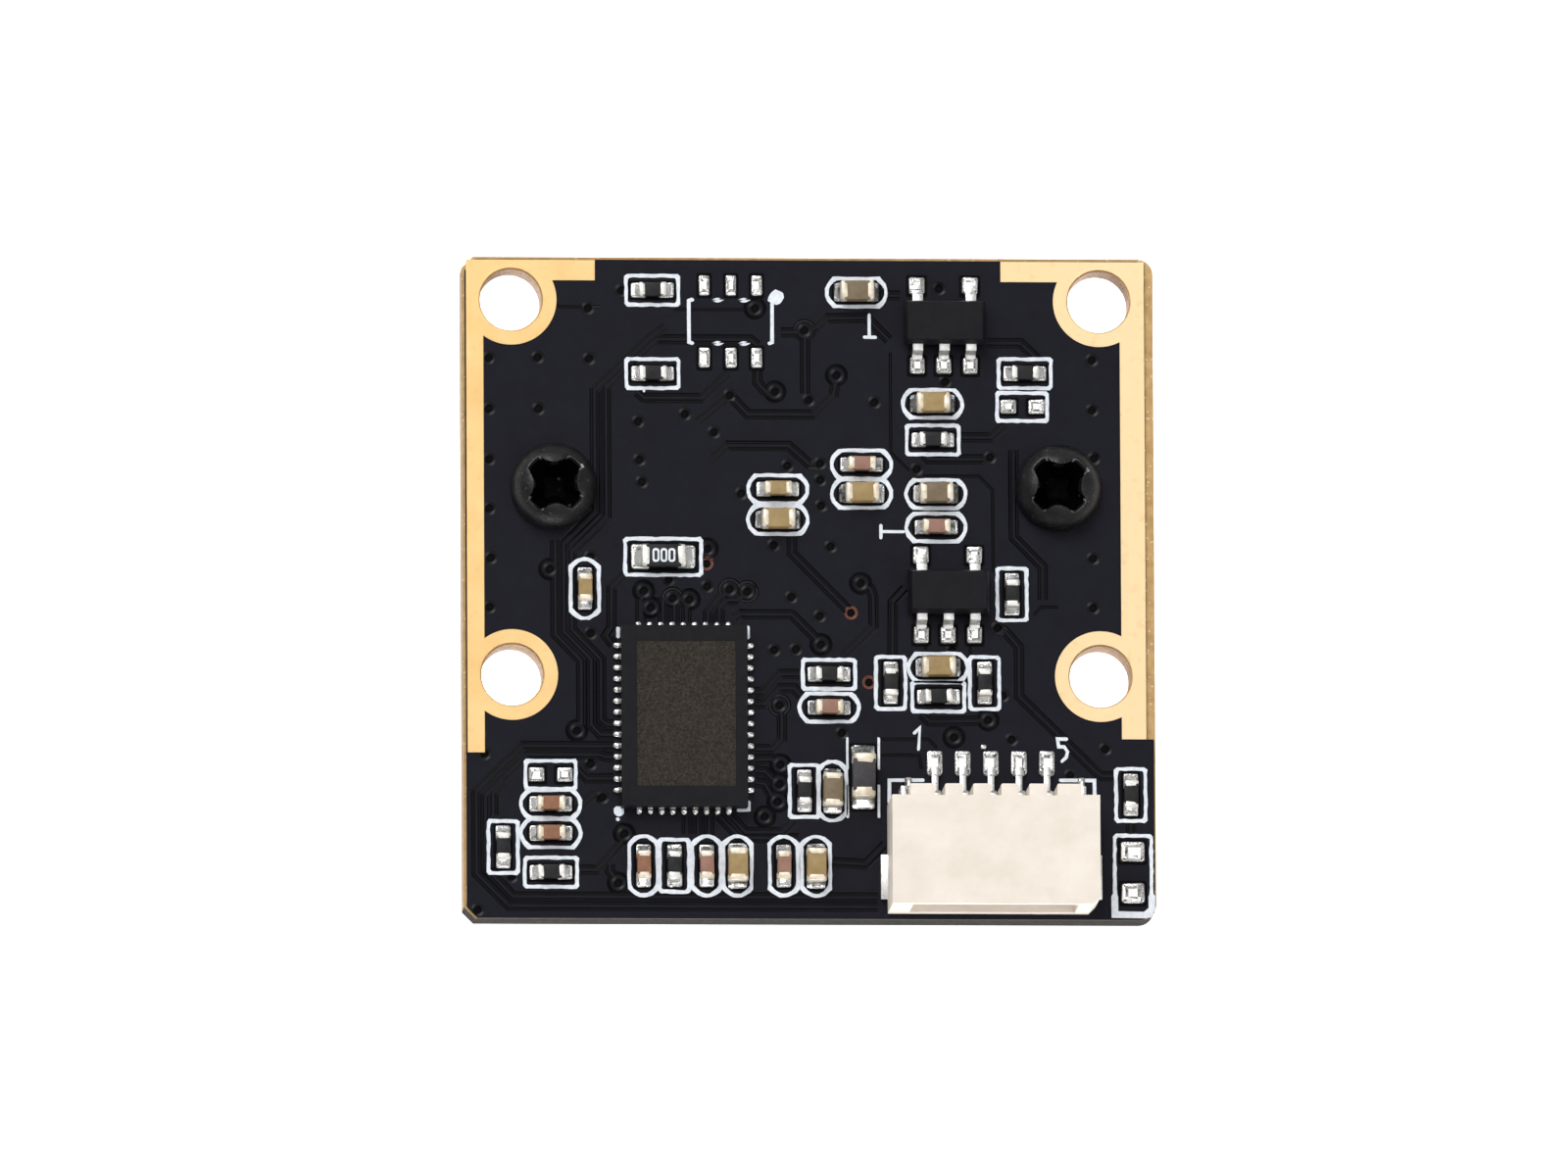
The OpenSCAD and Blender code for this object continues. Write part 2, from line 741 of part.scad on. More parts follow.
module regulator_upper() {
    color([0.12, 0.12, 0.13]) at(REGULATORS[0]) regulator_body();
}

module regulator_lower() {
    color([0.12, 0.12, 0.13]) at(REGULATORS[1]) regulator_body();
}

module regulator_leads() {
    color([0.8, 0.8, 0.8]) for (r = REGULATORS) at(r) five_leads();
}

// -------------------------------------------------------------- connector

// Rear notch for one contact: a slot with a flared mouth, open at the top
module contact_notch(rear) {
    linear_extrude(housing_h + 2 * eps)
        polygon([[-notch_w / 2, rear - tongue_d - eps], [notch_w / 2, rear - tongue_d - eps],
                 [notch_w / 2, rear - notch_flare], [notch_w / 2 + notch_flare, rear + eps],
                 [-notch_w / 2 - notch_flare, rear + eps], [-notch_w / 2, rear - notch_flare]]);
}

module contact(fit) {
    z = floor_t + mouth_h / 2;
    rear = housing_d + tongue_d - 0.05;
    rotate([90, 0, 90]) translate([0, 0, -contact_w / 2 - fit]) linear_extrude(contact_w + 2 * fit)
        polygon([[contact_tip, z - metal_t / 4], [contact_tip + 0.2, z - metal_t / 2 - fit],
                 [rear - metal_t, z - metal_t / 2 - fit], [rear - metal_t, land_t],
                 [rear + contact_foot, land_t], [rear + contact_foot, land_t + metal_t],
                 [rear + 0.12, land_t + metal_t], [rear, land_t + metal_t + 0.12],
                 [rear, z + metal_t / 2 - 0.12], [rear - 0.12, z + metal_t / 2 + fit],
                 [contact_tip + 0.2, z + metal_t / 2 + fit], [contact_tip, z + metal_t / 4]]);
}

// A tab stands in the end wall; its foot runs out under the wall to the solder
module tab(fit) {
    translate([tab_x - fit, tab_front, land_t])
        cube([metal_t + 2 * fit, housing_d - tab_front + tab_tail, tab_h + fit]);
    translate([tab_x, tab_front - fit, land_t])
        cube([housing_w / 2 - tab_x + tab_foot_out, tab_foot_l + 2 * fit, metal_t + fit]);
}

module both_tabs(fit) {
    tab(fit);
    mirror([1, 0, 0]) tab(fit);
}

// Outline of the housing from above
module housing_outline() {
    w = housing_w / 2;
    t = tab_x - 0.05;
    rear = housing_d + tongue_d;
    polygon([[-w + front_chamfer, 0], [w - front_chamfer, 0], [w, front_chamfer],
             [w, housing_d], [t, housing_d], [t, rear], [-t, rear], [-t, housing_d],
             [-w, housing_d], [-w, front_chamfer]]);
}

module connector_housing() {
    color([0.95, 0.91, 0.82]) at_connector() difference() {
        linear_extrude(housing_h) housing_outline();
        translate([-mouth_w / 2, -eps, floor_t]) cube([mouth_w, mouth_d + eps, mouth_h]);
        rotate([90, 0, 90]) translate([0, 0, -mouth_w / 2]) linear_extrude(mouth_w)
            polygon([[-eps, floor_t + mouth_h + mouth_lead_in + eps], [-eps, floor_t + mouth_h - eps],
                     [mouth_lead_in, floor_t + mouth_h - eps]]);
        translate([0, 0, -eps]) at_contacts() contact_notch(housing_d + tongue_d);
        at_contacts() contact(slot_fit);
        both_tabs(slot_fit);
        for (x = [-1, 1]) translate([x * (housing_w / 2 - 0.3), tab_front + tab_foot_l / 2, -eps])
            block(0.8, tab_foot_l + 2 * slot_fit, land_t + 2 * eps);
    }
}

module connector_pins() {
    color([0.8, 0.79, 0.76]) at_connector() at_contacts() contact(0);
}

module connector_tabs() {
    color([0.8, 0.79, 0.76]) at_connector() both_tabs(0);
}

// ------------------------------------------------------------ lens screws

module cross_recess(depth) {
    for (turn = [45, 135]) rotate([0, 0, turn]) translate([0, 0, -depth])
        block(1.9, 0.5, depth + eps);
}

module lens_screw() {
    dome_r = (pow(head_d / 2, 2) + pow(head_h * 0.45, 2)) / (2 * head_h * 0.45);
    difference() {
        union() {
            translate([0, 0, top_z]) intersection() {
                cylinder(d = head_d, h = head_h);
                translate([0, 0, head_h - dome_r]) sphere(r = dome_r);
            }
            translate([0, 0, top_z - screw_l]) cylinder(d = screw_d, h = screw_l + eps);
        }
        translate([0, 0, top_z + head_h]) cross_recess(head_h * 0.7);
    }
}

module lens_screws() {
    color([0.07, 0.07, 0.08]) at_lens_screws() lens_screw();
}

// ------------------------------------------------------------ lens holder

module lens_holder() {
    color([0.1, 0.1, 0.11])
    difference() {
        union() {
            translate([axis_x, axis_y, board_z - base_h])
                round_slab(base_side, base_side, base_h, base_r);
            translate([axis_x, axis_y, holder_z]) cylinder(d = tube_d, h = holder_h - base_h + eps);
            at_lens_screws() translate([0, 0, board_z - ear_h]) cylinder(d = ear_d, h = ear_h);
            translate([axis_x, axis_y, board_z - ear_h]) block(screw_pitch, ear_d, ear_h);
        }
        translate([axis_x, axis_y, holder_z - eps])
            cylinder(d = thread_d, h = thread_depth + eps);
        translate([axis_x, axis_y, holder_z]) cylinder(d = window_d, h = thread_depth + ledge_t + eps);
        translate([axis_x, axis_y, chamber_z])
            round_slab(chamber_side, chamber_side, board_z - chamber_z + eps, base_r / 2);
        translate([axis_x, axis_y, filter_z])
            block(filter_side + 2 * lens_fit, filter_side + 2 * lens_fit, filter_seat + eps);
        at_lens_screws() translate([0, 0, top_z - screw_l - pilot_extra])
            cylinder(d = screw_d + 2 * pilot_fit, h = screw_l);
    }
}

// ------------------------------------------------------------------- lens

module on_axis() {
    translate([axis_x, axis_y, 0]) children();
}

// Heights of the seats in the barrel, from the rim up
ring_z = hood_h;
front_z = ring_z + ring_h;
spacer_z = front_z + front_glass_h;
middle_z = spacer_z + spacer_h;
stop_z = middle_z + middle_glass_h;
rear_z = stop_z + stop_h;
wall_z = rear_z + rear_glass_h;

// Wall of the barrel from rim to rear, as half a section
module barrel_section() {
    head = barrel_head_d / 2;
    thread = barrel_thread_d / 2;
    polygon([
        [hood_d / 2, 0], [head - barrel_chamfer, 0], [head, barrel_chamfer],
        [head, barrel_head_h - barrel_chamfer], [head - barrel_chamfer, barrel_head_h],
        [thread, barrel_head_h], [thread, barrel_l - barrel_chamfer],
        [thread - barrel_chamfer, barrel_l], [rear_window_d / 2, barrel_l],
        [rear_window_d / 2, wall_z], [rear_bore_d / 2, wall_z],
        [rear_bore_d / 2, spacer_z], [front_bore_d / 2, spacer_z],
        [front_bore_d / 2, hood_h]]);
}

module lens_barrel() {
    color([0.12, 0.12, 0.13]) on_axis() difference() {
        rotate_extrude() barrel_section();
        for (i = [0:grip_count - 1]) rotate([0, 0, i * 360 / grip_count])
            translate([barrel_head_d / 2 + grip_d / 5, 0, grip_z])
                cylinder(d = grip_d, h = barrel_head_h, $fn = 16);
    }
}

// A plain ring with two spanner slots in its front face
module retaining_ring() {
    r = front_bore_d / 2 - lens_fit;
    color([0.1, 0.1, 0.11]) on_axis() translate([0, 0, ring_z]) difference() {
        cylinder(r = r, h = ring_h);
        translate([0, 0, -eps]) cylinder(d = ring_bore_d, h = ring_h + 2 * eps);
        translate([0, 0, -eps]) block(3 * r, 0.7, ring_h / 2);
    }
}

// Cap of a sphere of radius r over an opening of diameter d, bulging towards -Z
module glass_cap(d, r) {
    sag = r - sqrt(r * r - d * d / 4);
    intersection() {
        translate([0, 0, r - sag]) sphere(r = r, $fn = 96);
        translate([0, 0, -sag - 1]) cylinder(d = d, h = sag + 1 + eps);
    }
}

module front_element() {
    hollow_d = min(front_hollow_d, rear_bore_d - 0.6);
    color([0.55, 0.62, 0.75, 0.6]) on_axis() translate([0, 0, front_z]) difference() {
        union() {
            cylinder(d = front_bore_d - 2 * lens_fit, h = front_glass_h);
            glass_cap(ring_bore_d, front_radius);
        }
        translate([0, 0, front_glass_h]) glass_cap(hollow_d, front_hollow_radius);
    }
}

module element_spacer() {
    color([0.1, 0.1, 0.11]) on_axis() translate([0, 0, spacer_z]) difference() {
        cylinder(d = rear_bore_d - 2 * lens_fit, h = spacer_h);
        translate([0, 0, -eps]) cylinder(d = spacer_bore_d, h = spacer_h + 2 * eps);
    }
}

module middle_element() {
    color([0.55, 0.62, 0.75, 0.6]) on_axis() translate([0, 0, middle_z]) {
        cylinder(d = rear_bore_d - 2 * lens_fit, h = middle_glass_h);
        glass_cap(spacer_bore_d - 0.1, middle_radius);
    }
}

// The stop narrows to its aperture from the front
module aperture_stop() {
    outer = rear_bore_d / 2 - lens_fit;
    color([0.1, 0.1, 0.11]) on_axis() translate([0, 0, stop_z]) rotate_extrude()
        polygon([[outer - 0.6, 0], [outer, 0], [outer, stop_h], [aperture_d / 2, stop_h],
                 [aperture_d / 2, stop_h * 0.7]]);
}

module rear_element() {
    color([0.55, 0.62, 0.75, 0.6]) on_axis() translate([0, 0, rear_z]) {
        cylinder(d = rear_bore_d - 2 * lens_fit, h = rear_glass_h);
        translate([0, 0, rear_glass_h]) mirror([0, 0, 1]) glass_cap(rear_window_d - 0.1, rear_radius);
    }
}

// ------------------------------------------------------- filter and sensor

module ir_filter() {
    color([0.6, 0.8, 0.8, 0.6]) on_axis() translate([0, 0, filter_z])
        block(filter_side, filter_side, filter_t);
}

// Package on the lens side of the board, open towards the lens
module image_sensor() {
    color([0.2, 0.2, 0.2]) on_axis() translate([0, 0, board_z - sensor_h]) difference() {
        block(sensor_w, sensor_l, sensor_h);
        translate([0, 0, -eps]) block(sensor_w - 2 * sensor_wall, sensor_l - 2 * sensor_wall, cover_t + eps);
        block(sensor_w - 2 * (sensor_wall + cover_ledge), sensor_l - 2 * (sensor_wall + cover_ledge),
              sensor_h - sensor_floor);
    }
}

module sensor_die() {
    color([0.35, 0.3, 0.4]) on_axis() translate([0, 0, board_z - sensor_floor - die_t])
        block(die[0], die[1], die_t);
}

module sensor_cover_glass() {
    fit = 0.02;
    color([0.7, 0.8, 0.85, 0.5]) on_axis() translate([0, 0, board_z - sensor_h])
        block(sensor_w - 2 * sensor_wall - fit, sensor_l - 2 * sensor_wall - fit, cover_t);
}

// ---------------------------------------------------------------- assembly

circuit_board();
edge_plating();
silkscreen();
solder_joints();
lens_screws();
lens_holder();
lens_barrel();
retaining_ring();
front_element();
element_spacer();
middle_element();
aperture_stop();
rear_element();
ir_filter();
image_sensor();
sensor_die();
sensor_cover_glass();
controller_chip();
controller_leads();
regulator_upper();
regulator_lower();
regulator_leads();
connector_housing();
connector_pins();
connector_tabs();
zero_ohm_link();
ferrite_bead();
for (i = [1:len(CAPACITORS)])
    capacitor(CAPACITORS[i - 1]);
for (i = [1:len(RESISTORS)])
    resistor(RESISTORS[i - 1]);
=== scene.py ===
"""Dress of a small board camera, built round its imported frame.

Lengths are in millimetres in the classes and functions, and become metres only where a mesh is placed.
"""

import logging
import math
import random
from collections.abc import Callable, Sequence
from dataclasses import dataclass
from enum import Enum

import bmesh
import bpy
from mathutils import Matrix, Vector


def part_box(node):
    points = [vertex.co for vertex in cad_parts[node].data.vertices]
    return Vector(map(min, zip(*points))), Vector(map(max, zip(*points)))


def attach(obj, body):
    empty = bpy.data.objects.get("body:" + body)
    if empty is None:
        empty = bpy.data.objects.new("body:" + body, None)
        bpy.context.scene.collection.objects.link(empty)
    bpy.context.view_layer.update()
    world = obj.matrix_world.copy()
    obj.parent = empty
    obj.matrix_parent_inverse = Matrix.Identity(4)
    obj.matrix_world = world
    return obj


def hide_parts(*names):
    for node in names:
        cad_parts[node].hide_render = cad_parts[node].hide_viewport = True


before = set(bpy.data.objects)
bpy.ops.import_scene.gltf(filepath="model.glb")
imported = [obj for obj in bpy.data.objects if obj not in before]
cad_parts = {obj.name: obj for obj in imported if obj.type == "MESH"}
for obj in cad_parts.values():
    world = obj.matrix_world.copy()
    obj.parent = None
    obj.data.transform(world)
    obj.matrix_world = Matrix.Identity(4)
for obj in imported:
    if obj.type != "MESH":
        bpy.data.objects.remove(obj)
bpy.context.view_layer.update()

MM = 0.001
BODY = "root"
LOG = logging.getLogger("board_camera")
Colour = tuple[float, float, float]
Spot = tuple[float, float]


# ------------------------------------------------------------------ workshop


def put_down() -> None:
    """Deselects every object."""
    for piece in bpy.context.selected_objects:
        piece.select_set(False)


def hold(*pieces: bpy.types.Object) -> bpy.types.Object:
    """Selects only these pieces and makes the first one active.

    Args:
        pieces: The objects to select.

    Returns:
        The first piece.
    """
    put_down()
    for piece in pieces:
        piece.select_set(True)
    bpy.context.view_layer.objects.active = pieces[0]
    return pieces[0]


def edit_all(piece: bpy.types.Object) -> None:
    """Opens edit mode with the whole mesh selected.

    Args:
        piece: The object to edit.
    """
    hold(piece)
    bpy.ops.object.mode_set(mode="EDIT")
    bpy.ops.mesh.select_all(action="SELECT")


def close_edit() -> None:
    """Leaves edit mode."""
    bpy.ops.object.mode_set(mode="OBJECT")


def assemble(name: str, points: Sequence[Sequence[float]], edges: Sequence[tuple[int, ...]],
             faces: Sequence[tuple[int, ...]]) -> bpy.types.Object:
    """Makes an object from points in metres.

    Args:
        name: Name of the piece.
        points: Its points.
        edges: Pairs of points, where it has no faces.
        faces: Rings of points.

    Returns:
        The new piece.
    """
    mesh = bpy.data.meshes.new(name)
    mesh.from_pydata(points, edges, faces)
    piece = bpy.data.objects.new(name, mesh)
    bpy.context.scene.collection.objects.link(piece)
    return piece


def paint(piece: bpy.types.Object, *finishes: "Finish | ClearFinish") -> None:
    """Gives a piece one material slot for each finish, in this order.

    Args:
        piece: The object.
        finishes: Its finishes.
    """
    piece.data.materials.clear()
    for finish in finishes:
        piece.data.materials.append(finish.material())


def settle(piece: bpy.types.Object, name: str) -> bpy.types.Object:
    """Names a new piece and bakes its place into its mesh.

    Args:
        piece: The object, fresh from a primitive.
        name: Its new name.

    Returns:
        The same piece, at the origin.
    """
    hold(piece)
    bpy.ops.object.transform_apply(location=True, rotation=True, scale=True)
    piece.name = piece.data.name = name
    return piece


def block(name: str, centre: Sequence[float], size: Sequence[float]) -> bpy.types.Object:
    """Adds a block from its middle and its size.

    Args:
        name: Name of the piece.
        centre: Middle, in millimetres.
        size: Lengths along X, Y and Z.

    Returns:
        The new piece.
    """
    put_down()
    bpy.ops.mesh.primitive_cube_add(size=1, location=Vector(centre) * MM, scale=Vector(size) * MM)
    return settle(bpy.context.object, name)


def drum(name: str, centre: Sequence[float], radius: float, height: float, sides: int = 48,
         top: float | None = None) -> bpy.types.Object:
    """Adds an upright cylinder or cone from its middle.

    Args:
        name: Name of the piece.
        centre: Middle, in millimetres.
        radius: Radius of the lower end.
        height: Height along Z.
        sides: Number of sides.
        top: Radius of the upper end, where it differs.

    Returns:
        The new piece.
    """
    put_down()
    bpy.ops.mesh.primitive_cone_add(vertices=sides, radius1=radius * MM,
                                    radius2=(radius if top is None else top) * MM,
                                    depth=height * MM, location=Vector(centre) * MM)
    return settle(bpy.context.object, name)


def work(piece: bpy.types.Object, kind: str, **settings: object) -> bpy.types.Object:
    """Adds a modifier and applies it.

    Args:
        piece: The object to change.
        kind: Blender's name of the modifier type.
        settings: Its values.

    Returns:
        The same piece.
    """
    hold(piece)
    modifier = piece.modifiers.new(kind.lower(), kind)
    for key, value in settings.items():
        setattr(modifier, key, value)
    bpy.ops.object.modifier_apply(modifier=modifier.name)
    return piece


def soften(piece: bpy.types.Object, width: float, segments: int = 2, angle: float = 30) -> bpy.types.Object:
    """Rounds the sharp edges and shades the rest smooth.

    Args:
        piece: The object to change.
        width: Width of the rounding.
        segments: Steps across the rounding.
        angle: Sharpest angle, in degrees, that stays as it is.

    Returns:
        The same piece.
    """
    work(piece, "BEVEL", width=width * MM, segments=segments, limit_method="ANGLE",
         angle_limit=math.radians(angle), harden_normals=False, use_clamp_overlap=True)
    smooth(piece, angle + 5)
    return work(piece, "WEIGHTED_NORMAL", keep_sharp=True, weight=70)


def smooth(piece: bpy.types.Object, angle: float = 35) -> bpy.types.Object:
    """Shades a piece smooth, apart from edges sharper than the angle.

    Args:
        piece: The object to shade.
        angle: Greatest angle, in degrees, that is smoothed.

    Returns:
        The same piece.
    """
    hold(piece)
    bpy.ops.object.shade_smooth_by_angle(angle=math.radians(angle))
    return piece


def carve(piece: bpy.types.Object, tool: bpy.types.Object, operation: str = "DIFFERENCE") -> bpy.types.Object:
    """Cuts, joins or intersects with a tool piece, and removes the tool.

    Args:
        piece: The object to change.
        tool: The closed cutter.
        operation: Blender's name of the operation.

    Returns:
        The same piece.
    """
    work(piece, "BOOLEAN", object=tool, solver="MANIFOLD", operation=operation)
    bpy.data.objects.remove(tool)
    return piece


def carve_all(piece: bpy.types.Object, tools: Sequence[bpy.types.Object],
              operation: str = "DIFFERENCE") -> None:
    """Cuts with many tools, joining those that stand clear of each other.

    Args:
        piece: The object to change.
        tools: The closed cutters.
        operation: Blender's name of the operation.
    """
    batches: list[list[tuple[bpy.types.Object, Vector, Vector]]] = []
    for tool in tools:
        spots = [vertex.co for vertex in tool.data.vertices]
        low = Vector((min(spot.x for spot in spots), min(spot.y for spot in spots)))
        high = Vector((max(spot.x for spot in spots), max(spot.y for spot in spots)))
        for batch in batches:
            if all(low.x > b.x or low.y > b.y or high.x < a.x or high.y < a.y for _, a, b in batch):
                batch.append((tool, low, high))
                break
        else:
            batches.append([(tool, low, high)])
    for batch in batches:
        carve(piece, weld("tools", [tool for tool, _, _ in batch]), operation)


def weld(name: str, pieces: Sequence[bpy.types.Object]) -> bpy.types.Object:
    """Joins pieces into one object, each keeping its own shells.

    Args:
        name: Name of the result.
        pieces: The objects to join.

    Returns:
        The joined piece.
    """
    hold(*pieces)
    bpy.ops.object.join()
    piece = bpy.context.view_layer.objects.active
    piece.name = piece.data.name = name
    return piece


def cast(model: bpy.types.Object, name: str, at: Sequence[float], turn: float = 0,
         scale: Sequence[float] = (1, 1, 1)) -> bpy.types.Object:
    """Copies a finished model, with its own mesh, to a place.

    Args:
        model: The piece to copy.
        name: Name of the copy.
        at: Place of the copy's origin, in millimetres.
        turn: Turn about Z, in degrees.
        scale: Stretch along the model's own axes.

    Returns:
        The copy.
    """
    piece = bpy.data.objects.new(name, model.data.copy())
    bpy.context.scene.collection.objects.link(piece)
    piece.data.name = name
    place = Matrix.Translation(Vector(at) * MM) @ Matrix.Rotation(math.radians(turn), 4, "Z")
    piece.data.transform(place @ Matrix.Diagonal((*scale, 1)))
    if scale[0] * scale[1] * scale[2] < 0:
        piece.data.flip_normals()
    return piece


def shift_points(piece: bpy.types.Object, move: Callable[[Vector], Vector]) -> bpy.types.Object:
    """Moves every point of a mesh by a rule in millimetres.

    Args:
        piece: The object to shape.
        move: Gives the new place of a point from its old one.

    Returns:
        The same piece.
    """
    for vertex in piece.data.vertices:
        vertex.co = move(vertex.co / MM) * MM
    return piece


def select_faces(piece: bpy.types.Object, test: Callable[[Vector, Vector], bool]) -> None:
    """Opens edit mode with the faces selected that pass a test of place and normal.

    Args:
        piece: The object to edit.
        test: Takes a face's middle in millimetres and its normal.
    """
    hold(piece)
    bpy.ops.object.mode_set(mode="EDIT")
    bpy.ops.mesh.select_mode(type="FACE")
    bpy.ops.mesh.select_all(action="DESELECT")
    mesh = bmesh.from_edit_mesh(piece.data)
    for face in mesh.faces:
        if test(face.calc_center_median() / MM, face.normal):
            face.select_set(True)
    bmesh.update_edit_mesh(piece.data)


def from_node(node: str, name: str) -> bpy.types.Object:
    """Copies a frame node, merges its points and clears its flat seams.

    Args:
        node: Name of the node.
        name: Name of the new piece.

    Returns:
        The new piece, ready for rounding.
    """
    piece = bpy.data.objects.new(name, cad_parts[node].data.copy())
    bpy.context.scene.collection.objects.link(piece)
    piece.data.name = name
    piece.data.materials.clear()
    edit_all(piece)
    bpy.ops.mesh.remove_doubles(threshold=0.002 * MM)
    bpy.ops.mesh.dissolve_limited(angle_limit=math.radians(1))
    close_edit()
    return piece


def relief_noise(piece: bpy.types.Object, depth: float, size: float, seed: int) -> bpy.types.Object:
    """Makes a surface slightly uneven with smooth seeded waves.

    Args:
        piece: The object to shape.
        depth: Greatest height of the waves.
        size: Length of a wave.
        seed: Seed of the waves.

    Returns:
        The same piece.
    """
    draw = random.Random(seed)
    waves = [(Vector([draw.gauss(0, 1) for _ in range(3)]).normalized() * math.tau / size
              * draw.uniform(0.7, 1.6), draw.uniform(0, math.tau)) for _ in range(6)]
    normals = [vertex.normal.copy() for vertex in piece.data.vertices]
    for vertex, normal in zip(piece.data.vertices, normals):
        height = sum(math.sin(wave.dot(vertex.co / MM) + phase) for wave, phase in waves) / len(waves)
        vertex.co += normal * height * depth * MM
    return piece


def ribbon(name: str, path: Sequence[Spot], width: float, low: float, high: float,
           slope: float = 0) -> bpy.types.Object:
    """Makes a closed strip along a path, with sloped sides.

    Args:
        name: Name of the piece.
        path: Corners of the middle line, on X and Y.
        width: Width at the lower face.
        low: Height of the lower face.
        high: Height of the upper face.
        slope: How much each side leans in towards the upper face.

    Returns:
        The new piece.
    """
    spots = [Vector(spot) for spot in path]
    rows = []
    for index, spot in enumerate(spots):
        before = (spot - spots[index - 1]).normalized() if index else None
        after = (spots[index + 1] - spot).normalized() if index + 1 < len(spots) else None
        along = (before or after) + (after or before)
        along.normalize()
        reach = 1 / max(0.5, along.dot(after or before))
        side = Vector((-along.y, along.x)) * reach
        rows.append((spot, side))
    points, faces = [], []
    for spot, side in rows:
        for offset, level in ((-width / 2, low), (width / 2, low), (width / 2 - slope, high),
                              (-width / 2 + slope, high)):
            corner = spot + side * offset
            points.append((corner.x * MM, corner.y * MM, level * MM))
    for row in range(len(rows) - 1):
        base = 4 * row
        for step in range(4):
            after_step = (step + 1) % 4
            faces.append((base + step, base + after_step, base + 4 + after_step, base + 4 + step))
    last = 4 * (len(rows) - 1)
    faces += [(3, 2, 1, 0), (last, last + 1, last + 2, last + 3)]
    return face_outwards(assemble(name, points, [], faces))


def face_outwards(piece: bpy.types.Object) -> bpy.types.Object:
    """Turns all faces of a closed mesh outwards.

    Args:
        piece: The closed mesh.

    Returns:
        The same piece.
    """
    edit_all(piece)
    bpy.ops.mesh.normals_make_consistent(inside=False)
    close_edit()
    return piece


def printed_shape(name: str, outlines: Sequence[Sequence[Spot]], level: float,
                  thickness: float) -> bpy.types.Object:
    """Fills closed outlines, holes included, as a thin print with soft edges.

    Args:
        name: Name of the piece.
        outlines: Closed rings of corners: the outer one and its holes.
        level: Height of the lower face.
        thickness: Thickness of the print.

    Returns:
        The new piece.
    """
    curve = bpy.data.curves.new(name, "CURVE")
    curve.dimensions = "2D"
    curve.fill_mode = "BOTH"
    edge = thickness * 0.45
    curve.extrude = (thickness / 2 - edge) * MM
    curve.bevel_depth = edge * MM
    curve.bevel_resolution = 1
    curve.offset = -edge * MM
    for outline in outlines:
        spline = curve.splines.new("POLY")
        spline.points.add(len(outline) - 1)
        for point, corner in zip(spline.points, outline):
            point.co = (corner[0] * MM, corner[1] * MM, 0, 1)
        spline.use_cyclic_u = True
    piece = bpy.data.objects.new(name, curve)
    bpy.context.scene.collection.objects.link(piece)
    hold(piece)
    bpy.ops.object.convert(target="MESH")
    piece = bpy.context.object
    piece.data.transform(Matrix.Translation((0, 0, (level + thickness / 2) * MM)))
    piece.name = piece.data.name = name
    return piece


def deliver(piece: bpy.types.Object, finish: "Finish | None",
            replaces: Sequence[str] = ()) -> None:
    """Gives a finished piece its material and its body, and hides the frame nodes that it stands for.

    Args:
        piece: The finished object.
        finish: Its finish, or None where the faces already carry theirs.
        replaces: The frame nodes that the piece stands for.
    """
    if finish is not None:
        paint(piece, finish)
    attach(piece, BODY)
    if replaces:
        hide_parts(*replaces)
    LOG.info("%s: %d faces", piece.name, len(piece.data.polygons))


# ------------------------------------------------------------------ finishes


